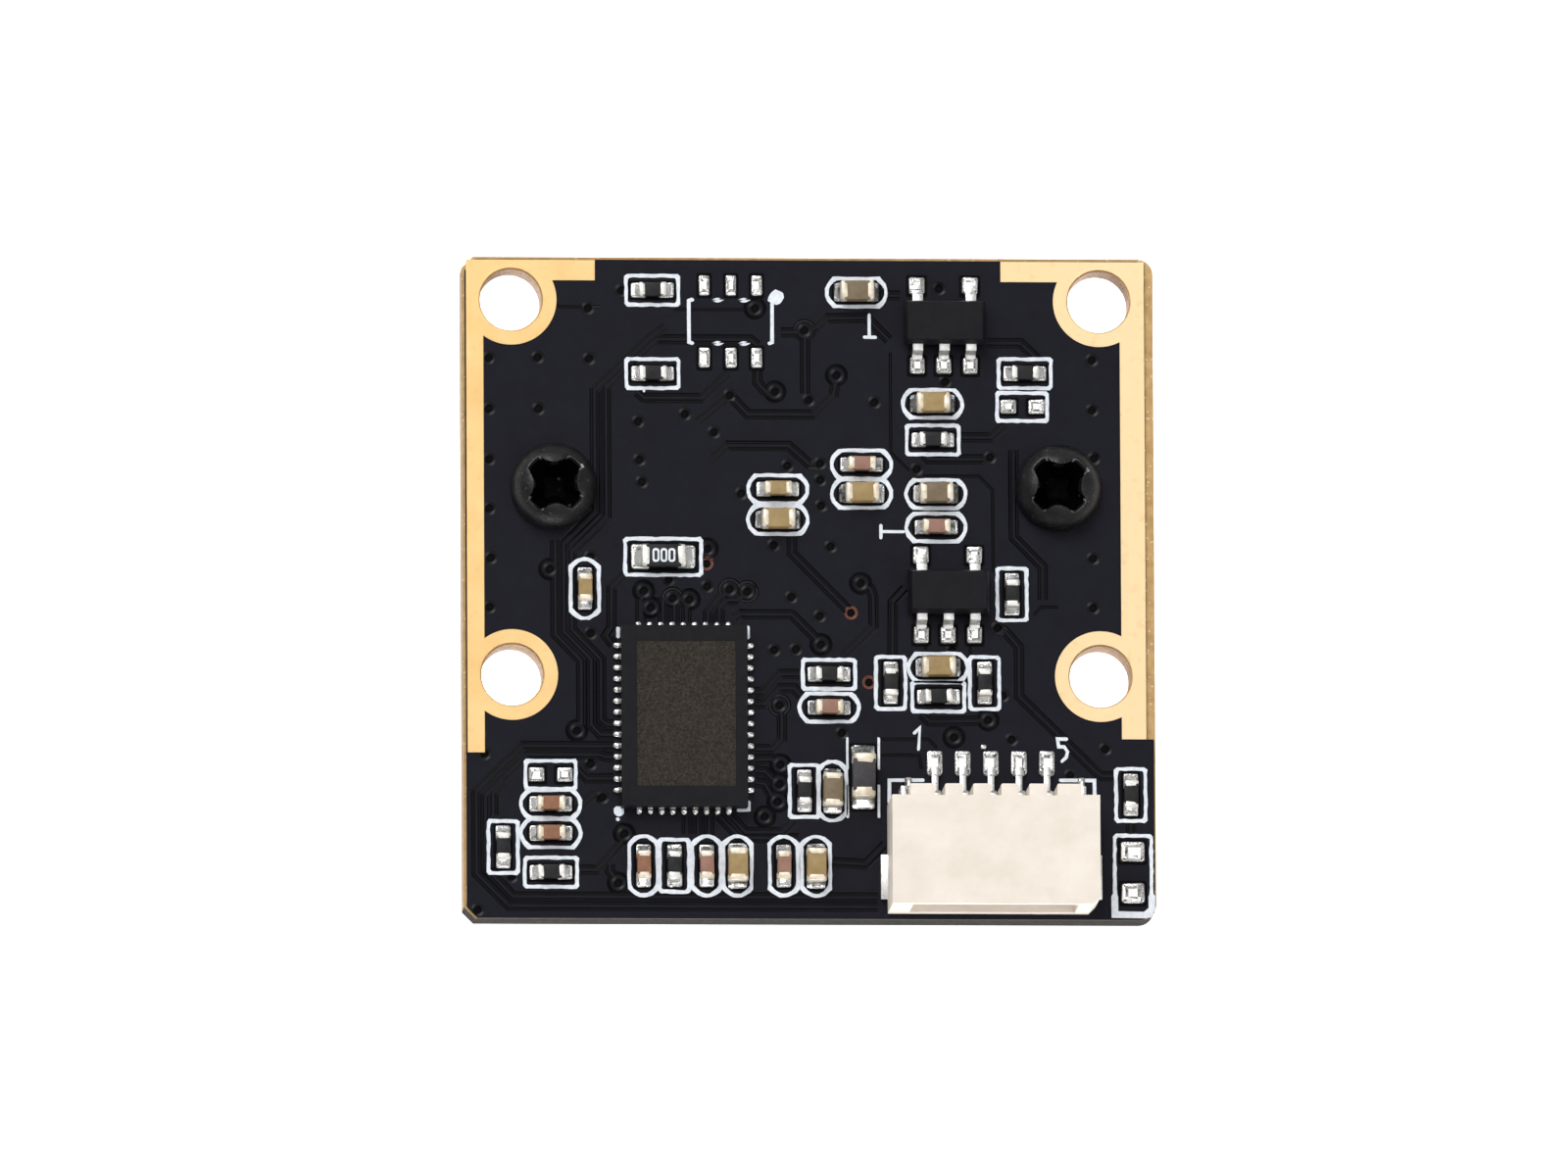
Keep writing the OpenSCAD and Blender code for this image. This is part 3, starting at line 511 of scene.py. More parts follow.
class Recipe:
    """A node material under construction, on object coordinates in millimetres."""

    def __init__(self, name: str) -> None:
        """Starts a material with an empty shader.

        Args:
            name: Name of the material.
        """
        self.material = bpy.data.materials.new(name)
        self.material.use_nodes = True
        self.tree = self.material.node_tree
        self.shader = self.tree.nodes["Principled BSDF"]
        source = self.tree.nodes.new("ShaderNodeTexCoord")
        scale = self.tree.nodes.new("ShaderNodeMapping")
        scale.inputs["Scale"].default_value = (1 / MM, 1 / MM, 1 / MM)
        self.tree.links.new(source.outputs["Object"], scale.inputs["Vector"])
        self.place = scale.outputs["Vector"]

    def noise(self, per_mm: float, detail: float = 3, stretch: Sequence[float] = (1, 1, 1),
              roughness: float = 0.55) -> bpy.types.NodeSocket:
        """Adds a noise pattern.

        Args:
            per_mm: Features in a millimetre.
            detail: Finer layers.
            stretch: Extra scale along X, Y and Z.
            roughness: Strength of the finer layers.

        Returns:
            The grey output.
        """
        place = self.place
        if tuple(stretch) != (1, 1, 1):
            mapping = self.tree.nodes.new("ShaderNodeMapping")
            mapping.inputs["Scale"].default_value = stretch
            self.tree.links.new(self.place, mapping.inputs["Vector"])
            place = mapping.outputs["Vector"]
        node = self.tree.nodes.new("ShaderNodeTexNoise")
        node.inputs["Scale"].default_value = per_mm
        node.inputs["Detail"].default_value = detail
        node.inputs["Roughness"].default_value = roughness
        self.tree.links.new(place, node.inputs["Vector"])
        return node.outputs["Fac"]

    def cells(self, per_mm: float) -> bpy.types.NodeSocket:
        """Adds a cell pattern.

        Args:
            per_mm: Cells in a millimetre.

        Returns:
            The distance output.
        """
        node = self.tree.nodes.new("ShaderNodeTexVoronoi")
        node.inputs["Scale"].default_value = per_mm
        self.tree.links.new(self.place, node.inputs["Vector"])
        return node.outputs["Distance"]

    def ramp(self, factor: bpy.types.NodeSocket,
             stops: Sequence[tuple[float, Colour | float]]) -> bpy.types.NodeSocket:
        """Maps a grey value to colours.

        Args:
            factor: The grey value.
            stops: Places from 0 to 1 with a colour or a grey each.

        Returns:
            The colour output.
        """
        node = self.tree.nodes.new("ShaderNodeValToRGB")
        ramp = node.color_ramp
        for index, (where, colour) in enumerate(stops):
            stop = ramp.elements[index] if index < 2 else ramp.elements.new(where)
            stop.position = where
            stop.color = (*colour, 1) if isinstance(colour, tuple) else (colour, colour, colour, 1)
        self.tree.links.new(factor, node.inputs["Fac"])
        return node.outputs["Color"]

    def mix(self, factor: bpy.types.NodeSocket, first: bpy.types.NodeSocket | Colour,
            second: bpy.types.NodeSocket | Colour) -> bpy.types.NodeSocket:
        """Mixes two colours by a grey value.

        Args:
            factor: The grey value.
            first: Colour where it is 0.
            second: Colour where it is 1.

        Returns:
            The mixed colour.
        """
        node = self.tree.nodes.new("ShaderNodeMix")
        node.data_type = "RGBA"
        self.tree.links.new(factor, node.inputs["Factor"])
        for name, value in (("A", first), ("B", second)):
            socket = next(s for s in node.inputs if s.name == name and s.type == "RGBA")
            if isinstance(value, tuple):
                socket.default_value = (*value, 1)
            else:
                self.tree.links.new(value, socket)
        return next(s for s in node.outputs if s.type == "RGBA")

    def height(self, axis: str = "Z") -> bpy.types.NodeSocket:
        """Gives one object coordinate in millimetres.

        Args:
            axis: Letter of the axis.

        Returns:
            The coordinate.
        """
        node = self.tree.nodes.new("ShaderNodeSeparateXYZ")
        self.tree.links.new(self.place, node.inputs["Vector"])
        return node.outputs[axis]

    def span(self, value: bpy.types.NodeSocket, low: float, high: float) -> bpy.types.NodeSocket:
        """Maps a range of a value to 0..1, clamped.

        Args:
            value: The value.
            low: Where the result is 0.
            high: Where the result is 1.

        Returns:
            The result.
        """
        node = self.tree.nodes.new("ShaderNodeMapRange")
        node.inputs["From Min"].default_value = low
        node.inputs["From Max"].default_value = high
        self.tree.links.new(value, node.inputs["Value"])
        return node.outputs["Result"]

    def colour(self, value: bpy.types.NodeSocket) -> None:
        """Feeds the base colour."""
        self.tree.links.new(value, self.shader.inputs["Base Color"])

    def roughness(self, factor: bpy.types.NodeSocket, low: float, high: float) -> None:
        """Feeds the roughness from a grey value, between two limits."""
        self.tree.links.new(self.ramp(factor, [(0.3, low), (0.7, high)]), self.shader.inputs["Roughness"])

    def bump(self, height: bpy.types.NodeSocket, depth: float, strength: float = 1) -> None:
        """Feeds a bump, over any bump fed before.

        Args:
            height: The grey value of the relief.
            depth: Its depth in millimetres.
            strength: Its share, from 0 to 1.
        """
        node = self.tree.nodes.new("ShaderNodeBump")
        node.inputs["Strength"].default_value = strength
        node.inputs["Distance"].default_value = depth * MM
        self.tree.links.new(height, node.inputs["Height"])
        socket = self.shader.inputs["Normal"]
        if socket.is_linked:
            self.tree.links.new(socket.links[0].from_socket, node.inputs["Normal"])
        self.tree.links.new(node.outputs["Normal"], socket)

    def set(self, **values: object) -> None:
        """Sets sockets of the shader that are the same all over; an underscore stands for a space."""
        for key, value in values.items():
            self.shader.inputs[key.replace("_", " ")].default_value = value


@dataclass(frozen=True)
class Finish:
    """A finish with two mingled tones, uneven gloss and a fine grain."""

    name: str
    dark: Colour
    light: Colour
    tone_per_mm: float = 1.5
    grain_per_mm: float = 20
    grain_depth: float = 0.004
    smooth_gloss: float = 0.35
    rough_gloss: float = 0.5
    metal: float = 0
    coat: float = 0
    specular: float = 0.5

    def material(self) -> bpy.types.Material:
        """Builds the material once and returns it."""
        made = bpy.data.materials.get(self.name)
        return made or self.build().material

    def build(self) -> Recipe:
        """Builds the node tree.

        Returns:
            The recipe, for finishes that add to it.
        """
        recipe = Recipe(self.name)
        tones = recipe.noise(self.tone_per_mm, 4)
        grain = recipe.noise(self.grain_per_mm, 2)
        recipe.colour(recipe.ramp(tones, [(0.3, self.dark), (0.7, self.light)]))
        recipe.roughness(grain, self.smooth_gloss, self.rough_gloss)
        recipe.bump(grain, self.grain_depth)
        recipe.set(Metallic=self.metal, Coat_Weight=self.coat, Specular_IOR_Level=self.specular)
        return recipe


@dataclass(frozen=True)
class SpeckledFinish(Finish):
    """A finish with fine specks of another colour."""

    speck: Colour = (0, 0, 0)
    speck_per_mm: float = 6
    speck_share: float = 0.12

    def build(self) -> Recipe:
        """Adds the specks over the two tones.

        Returns:
            The recipe, for finishes that add to it.
        """
        recipe = super().build()
        tones = recipe.shader.inputs["Base Color"].links[0].from_socket
        specks = recipe.ramp(recipe.cells(self.speck_per_mm),
                             [(self.speck_share, 1.0), (self.speck_share + 0.06, 0.0)])
        recipe.colour(recipe.mix(specks, tones, self.speck))
        return recipe


@dataclass(frozen=True)
class PlatedFinish(Finish):
    """Soft plating with a painted reflection that makes it paler at one end of the board, and faint stains.
    """

    far_painted_reflection: Colour = (1, 1, 1)
    reach: float = 11

    def build(self) -> Recipe:
        """Adds the painted reflection, paler at one end, and the stains over the tones.

        Returns:
            The recipe, for finishes that add to it.
        """
        recipe = super().build()
        tones = recipe.shader.inputs["Base Color"].links[0].from_socket
        # Painted reflection: the colour fades towards the far tone along X.
        across = recipe.span(recipe.height("X"), -self.reach, self.reach)
        painted_reflection_blend = recipe.mix(across, tones, self.far_painted_reflection)
        stains = recipe.ramp(recipe.noise(2.6, 3), [(0.56, 0.0), (0.74, 0.3)])
        recipe.colour(recipe.mix(stains, painted_reflection_blend, tuple(0.82 * tone for tone in self.dark)))
        return recipe


@dataclass(frozen=True)
class LaserField(Finish):
    """The rough field that a laser left on the moulding."""

    def build(self) -> Recipe:
        """Adds coarse grains and pits over the tones.

        Returns:
            The recipe, for finishes that add to it.
        """
        recipe = super().build()
        coarse = recipe.noise(11, 3, roughness=0.7)
        fine = recipe.noise(34, 1)
        tones = recipe.ramp(coarse, [(0.32, self.dark), (0.5, self.light),
                                     (0.72, tuple(min(1, 1.7 * tone) for tone in self.light))])
        pits = recipe.ramp(fine, [(0.33, 1.0), (0.42, 0.0)])
        recipe.colour(recipe.mix(pits, tones, tuple(tone * 0.45 for tone in self.dark)))
        recipe.bump(coarse, 0.03)
        return recipe


@dataclass(frozen=True)
class ClearFinish:
    """Clear glass with a coating tint."""

    name: str
    tint: Colour
    coat_tint: Colour = (0.6, 0.8, 1.0)
    rough: float = 0.02
    ior: float = 1.52

    def material(self) -> bpy.types.Material:
        """Builds the material once.

        Returns:
            The material.
        """
        made = bpy.data.materials.get(self.name)
        if made:
            return made
        recipe = Recipe(self.name)
        haze = recipe.noise(0.8, 2)
        recipe.colour(recipe.ramp(haze, [(0.3, self.tint), (0.7, tuple(0.97 * tone for tone in self.tint))]))
        recipe.roughness(haze, self.rough, self.rough * 1.5)
        recipe.set(IOR=self.ior, Transmission_Weight=0.92, Coat_Weight=0.6)
        recipe.set(Coat_Tint=(*self.coat_tint, 1), Coat_Roughness=0.02)
        return recipe.material


MASK = Finish("black_solder_mask", (0.0058, 0.0058, 0.0108), (0.008, 0.008, 0.0142), 1.2, 16, 0.0025, 0.36,
              0.48,
              specular=0.1)
MASK_UNDER = Finish("under_solder_mask", (0.0042, 0.0042, 0.0085), (0.0062, 0.0062, 0.0115), 0.8, 14, 0.003,
                    0.34, 0.46,
                    specular=0.2)
LAMINATE = SpeckledFinish("bare_laminate", (0.42, 0.25, 0.085), (0.6, 0.38, 0.15), 2.5, 24, 0.01, 0.45, 0.7,
                          speck=(0.72, 0.56, 0.34), speck_per_mm=5, speck_share=0.16)
EDGE_CUT = SpeckledFinish("cut_laminate_edge", (0.31, 0.205, 0.105), (0.47, 0.335, 0.195), 3, 22, 0.02, 0.6,
                          0.85,
                          speck=(0.17, 0.1, 0.05), speck_per_mm=7, speck_share=0.18)
# Painted shade: a darker copy of the cut edge for the laminate's front wall, which faces away from the main
# light.
EDGE_PAINTED_SHADE = SpeckledFinish("laminate_edge_painted_shade", (0.007, 0.006, 0.0045), (0.024, 0.02, 0.0145), 3, 22,
                           0.02,
                           0.6, 0.85, speck=(0.11, 0.09,
                                             0.065), speck_per_mm=6, speck_share=0.12, specular=0.1)
# Painted highlight: a paler, glossier gold for the rounded rims of the plating.
GOLD_PAINTED_HIGHLIGHT = Finish("gold_rim_painted_highlight", (0.95, 0.82, 0.55), (1.0, 0.93, 0.72), 0.6, 26, 0.003, 0.3, 0.42,
                  metal=0.3)
# Wear and painted highlight: bright metal for the small bevels round the screw recess.
WORN_EDGE_AND_PAINTED_HIGHLIGHT = Finish("screw_edge_wear_and_painted_highlight", (0.06, 0.06, 0.062), (0.95, 0.95, 0.96), 2.6, 18, 0.006, 0.2, 0.4,
                   metal=0.75)
# Painted shade: a much darker mask for the slopes and floors of the grooves beside the conductors, so that
# they read as dark lines.
MASK_SLOPE_PAINTED_SHADE = Finish("mask_slopes_painted_shade", (0.0009, 0.0009, 0.0016), (0.0016, 0.0016, 0.0028), 3, 20, 0.001, 0.3,
                    0.4,
                    specular=0.13)
# Painted shade: the same dark mask for the dimples round the vias, glossier so that their far side catches a
# highlight.
MASK_DIMPLE_PAINTED_SHADE = Finish("mask_dimples_painted_shade", (0.0009, 0.0009, 0.0016), (0.0016, 0.0016, 0.0028), 3, 20, 0.001, 0.3,
                     0.4,
                     specular=0.38)
# Painted shade: near-black mask for the via pits and for the openings round the lands.
MASK_SHADE = Finish("mask_painted_shade", (0.001, 0.001, 0.002), (0.002, 0.002, 0.003), 3, 20, 0.002, 0.5,
                    0.65,
                    specular=0.06)
# The gold's paler far tone is painted reflection.
GOLD = PlatedFinish("soft_gold_and_painted_reflection", (0.76, 0.49, 0.195), (0.84, 0.575, 0.26), 0.5, 26, 0.0035, 0.36, 0.5,
                    metal=0.7,
                    far_painted_reflection=(0.87, 0.65, 0.37))
HOLE_WALL = SpeckledFinish("plated_hole_wall", (0.46, 0.27, 0.14), (0.66, 0.43, 0.25), 3, 20, 0.01, 0.4, 0.65,
                           metal=0.2, speck=(0.1, 0.045, 0.025), speck_per_mm=5, speck_share=0.22)
PRINT = Finish("white_print", (0.68, 0.73, 0.81), (0.88, 0.91, 0.94), 6, 30, 0.004, 0.5, 0.7)
SOLDER = Finish("bright_solder", (0.76, 0.75, 0.73), (0.97, 0.96, 0.94), 5, 12, 0.01, 0.16, 0.32, metal=0.9)
# Painted shade: dark grey solder for the steeper faces of the drops, where the reflection of the light falls
# away.
SOLDER_SLOPE_PAINTED_SHADE = Finish("solder_slopes_painted_shade", (0.02, 0.019, 0.017), (0.52, 0.5, 0.47), 6, 14, 0.02, 0.25, 0.5,
                     metal=0.8)
CAP_METAL = Finish("tinned_cap", (0.66, 0.55, 0.38), (0.97, 0.91, 0.78), 4, 22, 0.008, 0.3, 0.5, metal=0.35)
CAP_SILVER = Finish("bright_cap", (0.66, 0.64, 0.58), (0.98, 0.96, 0.91), 4, 22, 0.008, 0.25, 0.45, metal=0.6)
LEAD = Finish("tinned_lead", (0.7, 0.69, 0.67), (0.92, 0.91, 0.89), 4, 18, 0.006, 0.25, 0.42, metal=0.9)
MOULDING = Finish("chip_moulding", (0.0085, 0.0085, 0.0105), (0.0115, 0.0115, 0.0135), 2, 26, 0.003, 0.45,
                  0.6,
                  specular=0.1)
MARK_FIELD = LaserField("laser_field", (0.022, 0.017, 0.013), (0.04, 0.033, 0.027), 2, 30, 0.02, 0.6, 0.85,
                        specular=0.12)
IVORY = Finish("ivory_moulding", (0.82, 0.735, 0.63), (0.91, 0.83, 0.735), 0.9, 9, 0.004, 0.36, 0.48,
               specular=0.3)
# Painted light: a paler ivory for the floor inside the connector's mouth, which lies in shade.
IVORY_PAINTED_LIGHT = Finish("ivory_mouth_floor_painted_light", (0.86, 0.76, 0.68), (0.93, 0.85, 0.78), 0.9, 9, 0.004, 0.4, 0.5,
                    specular=0.3)
TAN = Finish("tan_ceramic", (0.3, 0.2, 0.085), (0.39, 0.275, 0.12), 3, 22, 0.004, 0.4, 0.6, specular=0.3)
BROWN = Finish("brown_ceramic", (0.23, 0.1, 0.055), (0.31, 0.15, 0.085), 3, 22, 0.004, 0.4, 0.6, specular=0.3)
PINK = Finish("pink_brown_ceramic", (0.27, 0.14, 0.1), (0.34, 0.19, 0.14), 3, 22, 0.004, 0.4, 0.6,
              specular=0.3)
GREY_TAN = Finish("grey_tan_ceramic", (0.16, 0.12, 0.07), (0.22, 0.165, 0.1), 3, 22, 0.005, 0.4, 0.6,
                  specular=0.3)
RESISTIVE = Finish("black_glaze", (0.009, 0.009, 0.01), (0.02, 0.02, 0.021), 4, 18, 0.004, 0.3, 0.45,
                   specular=0.2)
FERRITE = Finish("grey_ferrite", (0.042, 0.038, 0.042), (0.062, 0.058, 0.062), 3, 20, 0.005, 0.4, 0.6,
                 specular=0.25)
SCREW_BLACK = SpeckledFinish("black_screw_steel", (0.0025, 0.0025, 0.0028), (0.011, 0.011, 0.012), 2.2, 14,
                             0.014, 0.28,
                             0.5, speck=(0.09, 0.09, 0.095), speck_per_mm=3.5, speck_share=0.05, specular=0.3)
# Painted shade and painted glints: near-black for the screw recess and the lower band of the dome, with
# sparse grey specks as glints.
SCREW_PIT_PAINTED_SHADE_AND_GLINTS = SpeckledFinish("screw_recess_painted_shade_and_glints", (0.0004, 0.0004, 0.0004), (0.0009, 0.0009, 0.0009), 3, 8, 0.02, 0.5,
                           0.7,
                           speck=(0.05, 0.05, 0.054), speck_per_mm=1.7, speck_share=0.07, specular=0.02)
HOLDER = Finish("black_moulded_holder", (0.011, 0.011, 0.012), (0.02, 0.02, 0.021), 1, 10, 0.01, 0.42, 0.58)
BARREL = Finish("black_barrel", (0.01, 0.01, 0.011), (0.017, 0.017, 0.018), 1.5, 18, 0.004, 0.26, 0.4,
                metal=0.2)
PACKAGE = Finish("dark_ceramic_package", (0.03, 0.03, 0.032), (0.05, 0.05, 0.052), 2, 16, 0.006, 0.5, 0.7)
SILICON = Finish("polished_silicon", (0.1, 0.07, 0.14), (0.06, 0.14, 0.16), 0.4, 30, 0.0005, 0.08, 0.15,
                 metal=0.7)
LENS_GLASS = ClearFinish("coated_lens_glass", (0.93, 0.96, 1.0), (0.45, 0.7, 1.0))
FILTER_GLASS = ClearFinish("cyan_filter_glass", (0.72, 0.93, 0.95), (1.0, 0.6, 0.55))
COVER_GLASS = ClearFinish("sensor_cover", (0.95, 0.98, 0.98))
COPPER_RIM = Finish("bare_via_rim", (0.1, 0.035, 0.025), (0.2, 0.075, 0.05), 6, 20, 0.004, 0.4, 0.6,
                    specular=0.2)


# ------------------------------------------------------------------ studio


@dataclass(frozen=True)
class Studio:
    """Camera, soft light and pale floor."""

    distance: float = 1552
    lens: float = 1000
    lean_x: float = 3.6
    lean_y: float = 8
    roll: float = 0.28
    aim: Spot = (-0.89, 0.0)
    sky: float = 0.26
    sky_low: float = 0.45
    floor_glow: float = 1.0

    def build(self, level: float) -> None:
        """Sets up the camera, the lights, the sky and the floor.

        Args:
            level: Height of the face that the camera looks at.
        """
        self.camera(level)
        self.sky_dome()
        self.lamps()
        self.floor()

    def camera(self, level: float) -> None:
        """Places the camera above the component side.

        Args:
            level: Height of the face that it looks at.
        """
        data = bpy.data.cameras.new("camera")
        data.lens = self.lens
        data.sensor_width = 36
        data.clip_start = 0.01
        data.clip_end = 10
        camera = bpy.data.objects.new("camera", data)
        bpy.context.scene.collection.objects.link(camera)
        back = Vector((-math.tan(math.radians(self.lean_x)), -math.tan(math.radians(self.lean_y)),
                       1)).normalized()
        upward = Vector((math.sin(math.radians(self.roll)), math.cos(math.radians(self.roll)), 0))
        right = upward.cross(back).normalized()
        upward = back.cross(right)
        turn = Matrix((right, upward, back)).transposed().to_4x4()
        spot = Vector((*self.aim, level)) + back * self.distance
        camera.matrix_world = Matrix.Translation(spot * MM) @ turn
        bpy.context.scene.camera = camera

    def sky_dome(self) -> None:
        """Gives the world a pale sky, lighter towards the horizon."""
        world = bpy.data.worlds.new("studio")
        bpy.context.scene.world = world
        world.use_nodes = True
        tree = world.node_tree
        source = tree.nodes.new("ShaderNodeTexCoord")
        split = tree.nodes.new("ShaderNodeSeparateXYZ")
        ramp = tree.nodes.new("ShaderNodeValToRGB")
        ramp.color_ramp.elements[0].position = 0.15
        ramp.color_ramp.elements[0].color = (self.sky_low,) * 3 + (1,)
        ramp.color_ramp.elements[1].position = 0.85
        ramp.color_ramp.elements[1].color = (self.sky * 0.98, self.sky, self.sky * 1.03, 1)
        tree.links.new(source.outputs["Generated"], split.inputs["Vector"])
        tree.links.new(split.outputs["Z"], ramp.inputs["Fac"])
        tree.links.new(ramp.outputs["Color"], tree.nodes["Background"].inputs["Color"])

    def lamp(self, name: str, spot: Sequence[float], size: float, power: float) -> None:
        """Adds a round soft light that faces the board.

        Args:
            name: Name of the light.
            spot: Its place, in millimetres.
            size: Its diameter.
            power: Its power, in watts.
        """
        put_down()
        bpy.ops.object.light_add(type="AREA", location=Vector(spot) * MM)
        lamp = bpy.context.object
        lamp.name = lamp.data.name = name
        lamp.data.shape = "DISK"
        lamp.data.size = size * MM
        lamp.data.energy = power
        lamp.rotation_euler = (Vector((0, 0, 20)) - Vector(spot)).to_track_quat("-Z", "Y").to_euler()

    def lamps(self) -> None:
        """Adds the main light, a weaker one opposite, and a wide one behind the camera."""
        self.lamp("main_light", (-120, 230, 340), 260, 1.15)
        self.lamp("fill_light", (200, -120, 240), 200, 0.2)
        self.lamp("overhead_light", (0, 0, 1800), 1300, 4.6)
        self.lamp("front_light", (-40, -420, 45), 200, 0.6)

    def floor(self) -> None:
        """Adds the pale floor under the lens."""
        put_down()
        bpy.ops.mesh.primitive_plane_add(size=3, location=(0, 0, -0.00002))
        floor = settle(bpy.context.object, "floor")
        recipe = Recipe("pale_floor")
        haze = recipe.noise(0.02, 2)
        recipe.colour(recipe.ramp(haze, [(0.3, (0.86, 0.86, 0.865)), (0.7, (0.88, 0.88, 0.88))]))
        recipe.set(Roughness=0.8, Emission_Color=(1, 1, 1, 1), Emission_Strength=self.floor_glow)
        floor.data.materials.append(recipe.material)


# ------------------------------------------------------------------ board


@dataclass(frozen=True)
class BoardPlan:
    """Sizes of the board, read from its node and named for the details on it."""

    low: Vector
    high: Vector
    hole_r: float = 1.1
    left_inset: float = 1.75
    right_inset: float = 1.95
    upper_inset: float = 1.55
    pitch_y: float = 13.5
    corner_r: float = 0.55
    corner_leg: float = 0.4
    film: float = 0.1
    groove: float = 0.028
    screw_hole_r: float = 0.9
    screw_pitch: float = 18

    @property
    def top(self) -> float:
        """Height of the component side."""
        return self.high.z

    @property
    def holes(self) -> list[Spot]:
        """Middles of the four mounting holes."""
        upper = self.high.y - self.upper_inset
        return [(x, y) for x in (self.low.x + self.left_inset, self.high.x - self.right_inset)
                for y in (upper, upper - self.pitch_y)]

    @property
    def axis(self) -> Spot:
        """Middle of the lens."""
        (left, upper), (_, lower), (right, _), _ = self.holes
        return ((left + right) / 2, (upper + lower) / 2)

    @property
    def screws(self) -> list[Spot]:
        """Middles of the two lens screws."""
        return [(self.axis[0] + side * self.screw_pitch / 2, self.axis[1]) for side in (-1, 1)]


def board_plan() -> BoardPlan:
    """Reads the board's box from the frame."""
    low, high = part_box("circuit_board")
    return BoardPlan(low / MM, high / MM)


@dataclass(frozen=True)
class Board:
    """The laminate with its black mask, conductors under the mask, and plated holes."""

    plan: BoardPlan
    skin: float = 0.16
    ring_clearance: float = 0.25
    moat_w: float = 0.27
    pour_w: float = 0.04
    track_w: float = 0.26
    dimple_r: float = 0.15
    pit_r: float = 0.12

    def slab(self, name: str, low_z: float, high_z: float, inset: Sequence[float]) -> bpy.types.Object:
        """Makes a slab of the board's outline.

        Args:
            name: Name of the piece.
            low_z: Height of its lower face.
            high_z: Height of its upper face.
            inset: Distance from the board's left, right, lower and upper edge.

        Returns:
            The slab, with its corners cut and rounded.
        """
        plan = self.plan
        left, right = plan.low.x + inset[0], plan.high.x - inset[1]
        lower, upper = plan.low.y + inset[2], plan.high.y - inset[3]
        middle = ((left + right) / 2, (lower + upper) / 2, (low_z + high_z) / 2)
        piece = block(name, middle, (right - left, upper - lower, high_z - low_z))
        for side, width, steps in ((1, plan.corner_r, 6), (-1, plan.corner_leg, 1)):
            hold(piece)
            bpy.ops.object.mode_set(mode="EDIT")
            bpy.ops.mesh.select_all(action="DESELECT")
            bpy.ops.mesh.select_mode(type="EDGE")
            mesh = bmesh.from_edit_mesh(piece.data)
            for edge in mesh.edges:
                ends = [vertex.co / MM for vertex in edge.verts]
                upright = abs(ends[0].z - ends[1].z) > 0.01
                edge.select_set(upright and (ends[0].x - middle[0]) * side > 0)
            bmesh.update_edit_mesh(piece.data)
            bpy.ops.mesh.bevel(offset=width * MM, segments=steps)
            close_edit()
        return piece

    def drill(self, piece: bpy.types.Object, radius_up: float) -> None:
        """Cuts the mounting holes and the holes of the lens screws.

        Args:
            piece: The object to drill.
            radius_up: How much wider the mounting holes are cut, on the radius.
        """
        plan = self.plan
        middle = (plan.low.z + plan.high.z) / 2
        for x, y in plan.holes:
            carve(piece, drum("drill", (x, y, middle), plan.hole_r + radius_up, 4, 64))
        for x, y in plan.screws:
            carve(piece, drum("drill", (x, y, middle), plan.screw_hole_r, 4, 32))

    def core(self) -> None:
        """Builds the laminate with plated hole walls and the mask of the lens side."""
        plan = self.plan
        core = self.slab("circuit_board", plan.low.z, plan.top - plan.film, (0, 0, 0, 0))
        self.drill(core, 0)
        smooth(core, 30)
        paint(core, EDGE_CUT, LAMINATE, MASK_UNDER, HOLE_WALL, EDGE_PAINTED_SHADE)
        for face in core.data.polygons:
            spot = face.center / MM
            if face.normal.z > 0.9:
                face.material_index = 1
            elif face.normal.z < -0.9:
                face.material_index = 2
            elif any((Vector(hole) - spot.xy).length < plan.hole_r + 0.1
                     for hole in plan.holes + plan.screws):
                face.material_index = 3
            # Painted shade: faces turned towards -Y take the darker edge finish.
            elif face.normal.y < -0.5:
                face.material_index = 4
        deliver(core, None, ["circuit_board"])

    def mask(self) -> None:
        """Builds the mask film of the component side, with conductors and vias in relief."""
        plan = self.plan
        film = self.slab("mask_film", plan.top - self.skin, plan.top, (0.1, 0.06, 0.006, 0.1))
        carve(film, block("band", (plan.high.x, 3.25, plan.top), (0.64, 17.3, 1)))
        self.drill(film, self.ring_clearance)
        low, over = plan.top - plan.groove, plan.top + 0.01
        open_vias = [spot for spot, kind in VIAS if kind is Via.CLEAR]
        moats = [ribbon("moat", path, self.moat_w, low, over, -0.07) for path in CONDUCTORS]
        moats += [ribbon("moat", path, self.pour_w, low, over, -0.05) for path in POUR_EDGES]
        moats += [drum("moat", (*spot, plan.top - 0.009), 0.37, 0.05, 24, 0.44) for spot in open_vias]
        carve_all(film, moats)
        islands = [ribbon("track", path, self.track_w, low - 0.02, plan.top - 0.001,
                          0.08) for path in CONDUCTORS]
        islands += [drum("island", (*spot, plan.top - 0.032), 0.38, 0.06, 24, 0.28) for spot in open_vias]
        carve_all(film, islands, "UNION")
        for name, depth, radius, wide in (("dimple", 0.015, self.dimple_r, 0.29),
                                          ("pit", 0.052, self.pit_r, 0.16)):
            carve_all(film,
                      [drum(name, (*spot, plan.top - depth), radius, 0.07, 20, wide) for spot, _ in VIAS])
        shift_points(film, lambda spot: Vector((spot.x, spot.y, round(spot.z, 3))))
        self.tint(film)
        deliver(film, None)

    def tint(self, film: bpy.types.Object) -> None:
        """Gives the open rims of the mask their own finish, and paints shade into the pits, the slopes, the
        groove floors and the dimples.

        Args:
            film: The mask film.
        """
        plan = self.plan
        paint(film, MASK, MASK_SHADE, COPPER_RIM, MASK_SLOPE_PAINTED_SHADE, MASK_DIMPLE_PAINTED_SHADE)
        copper = [Vector(spot) for spot, kind in VIAS if kind is Via.COPPER]
        for face in film.data.polygons:
            spot = face.center / MM
            near = min((spot.xy - Vector(via)).length for via, _ in VIAS)
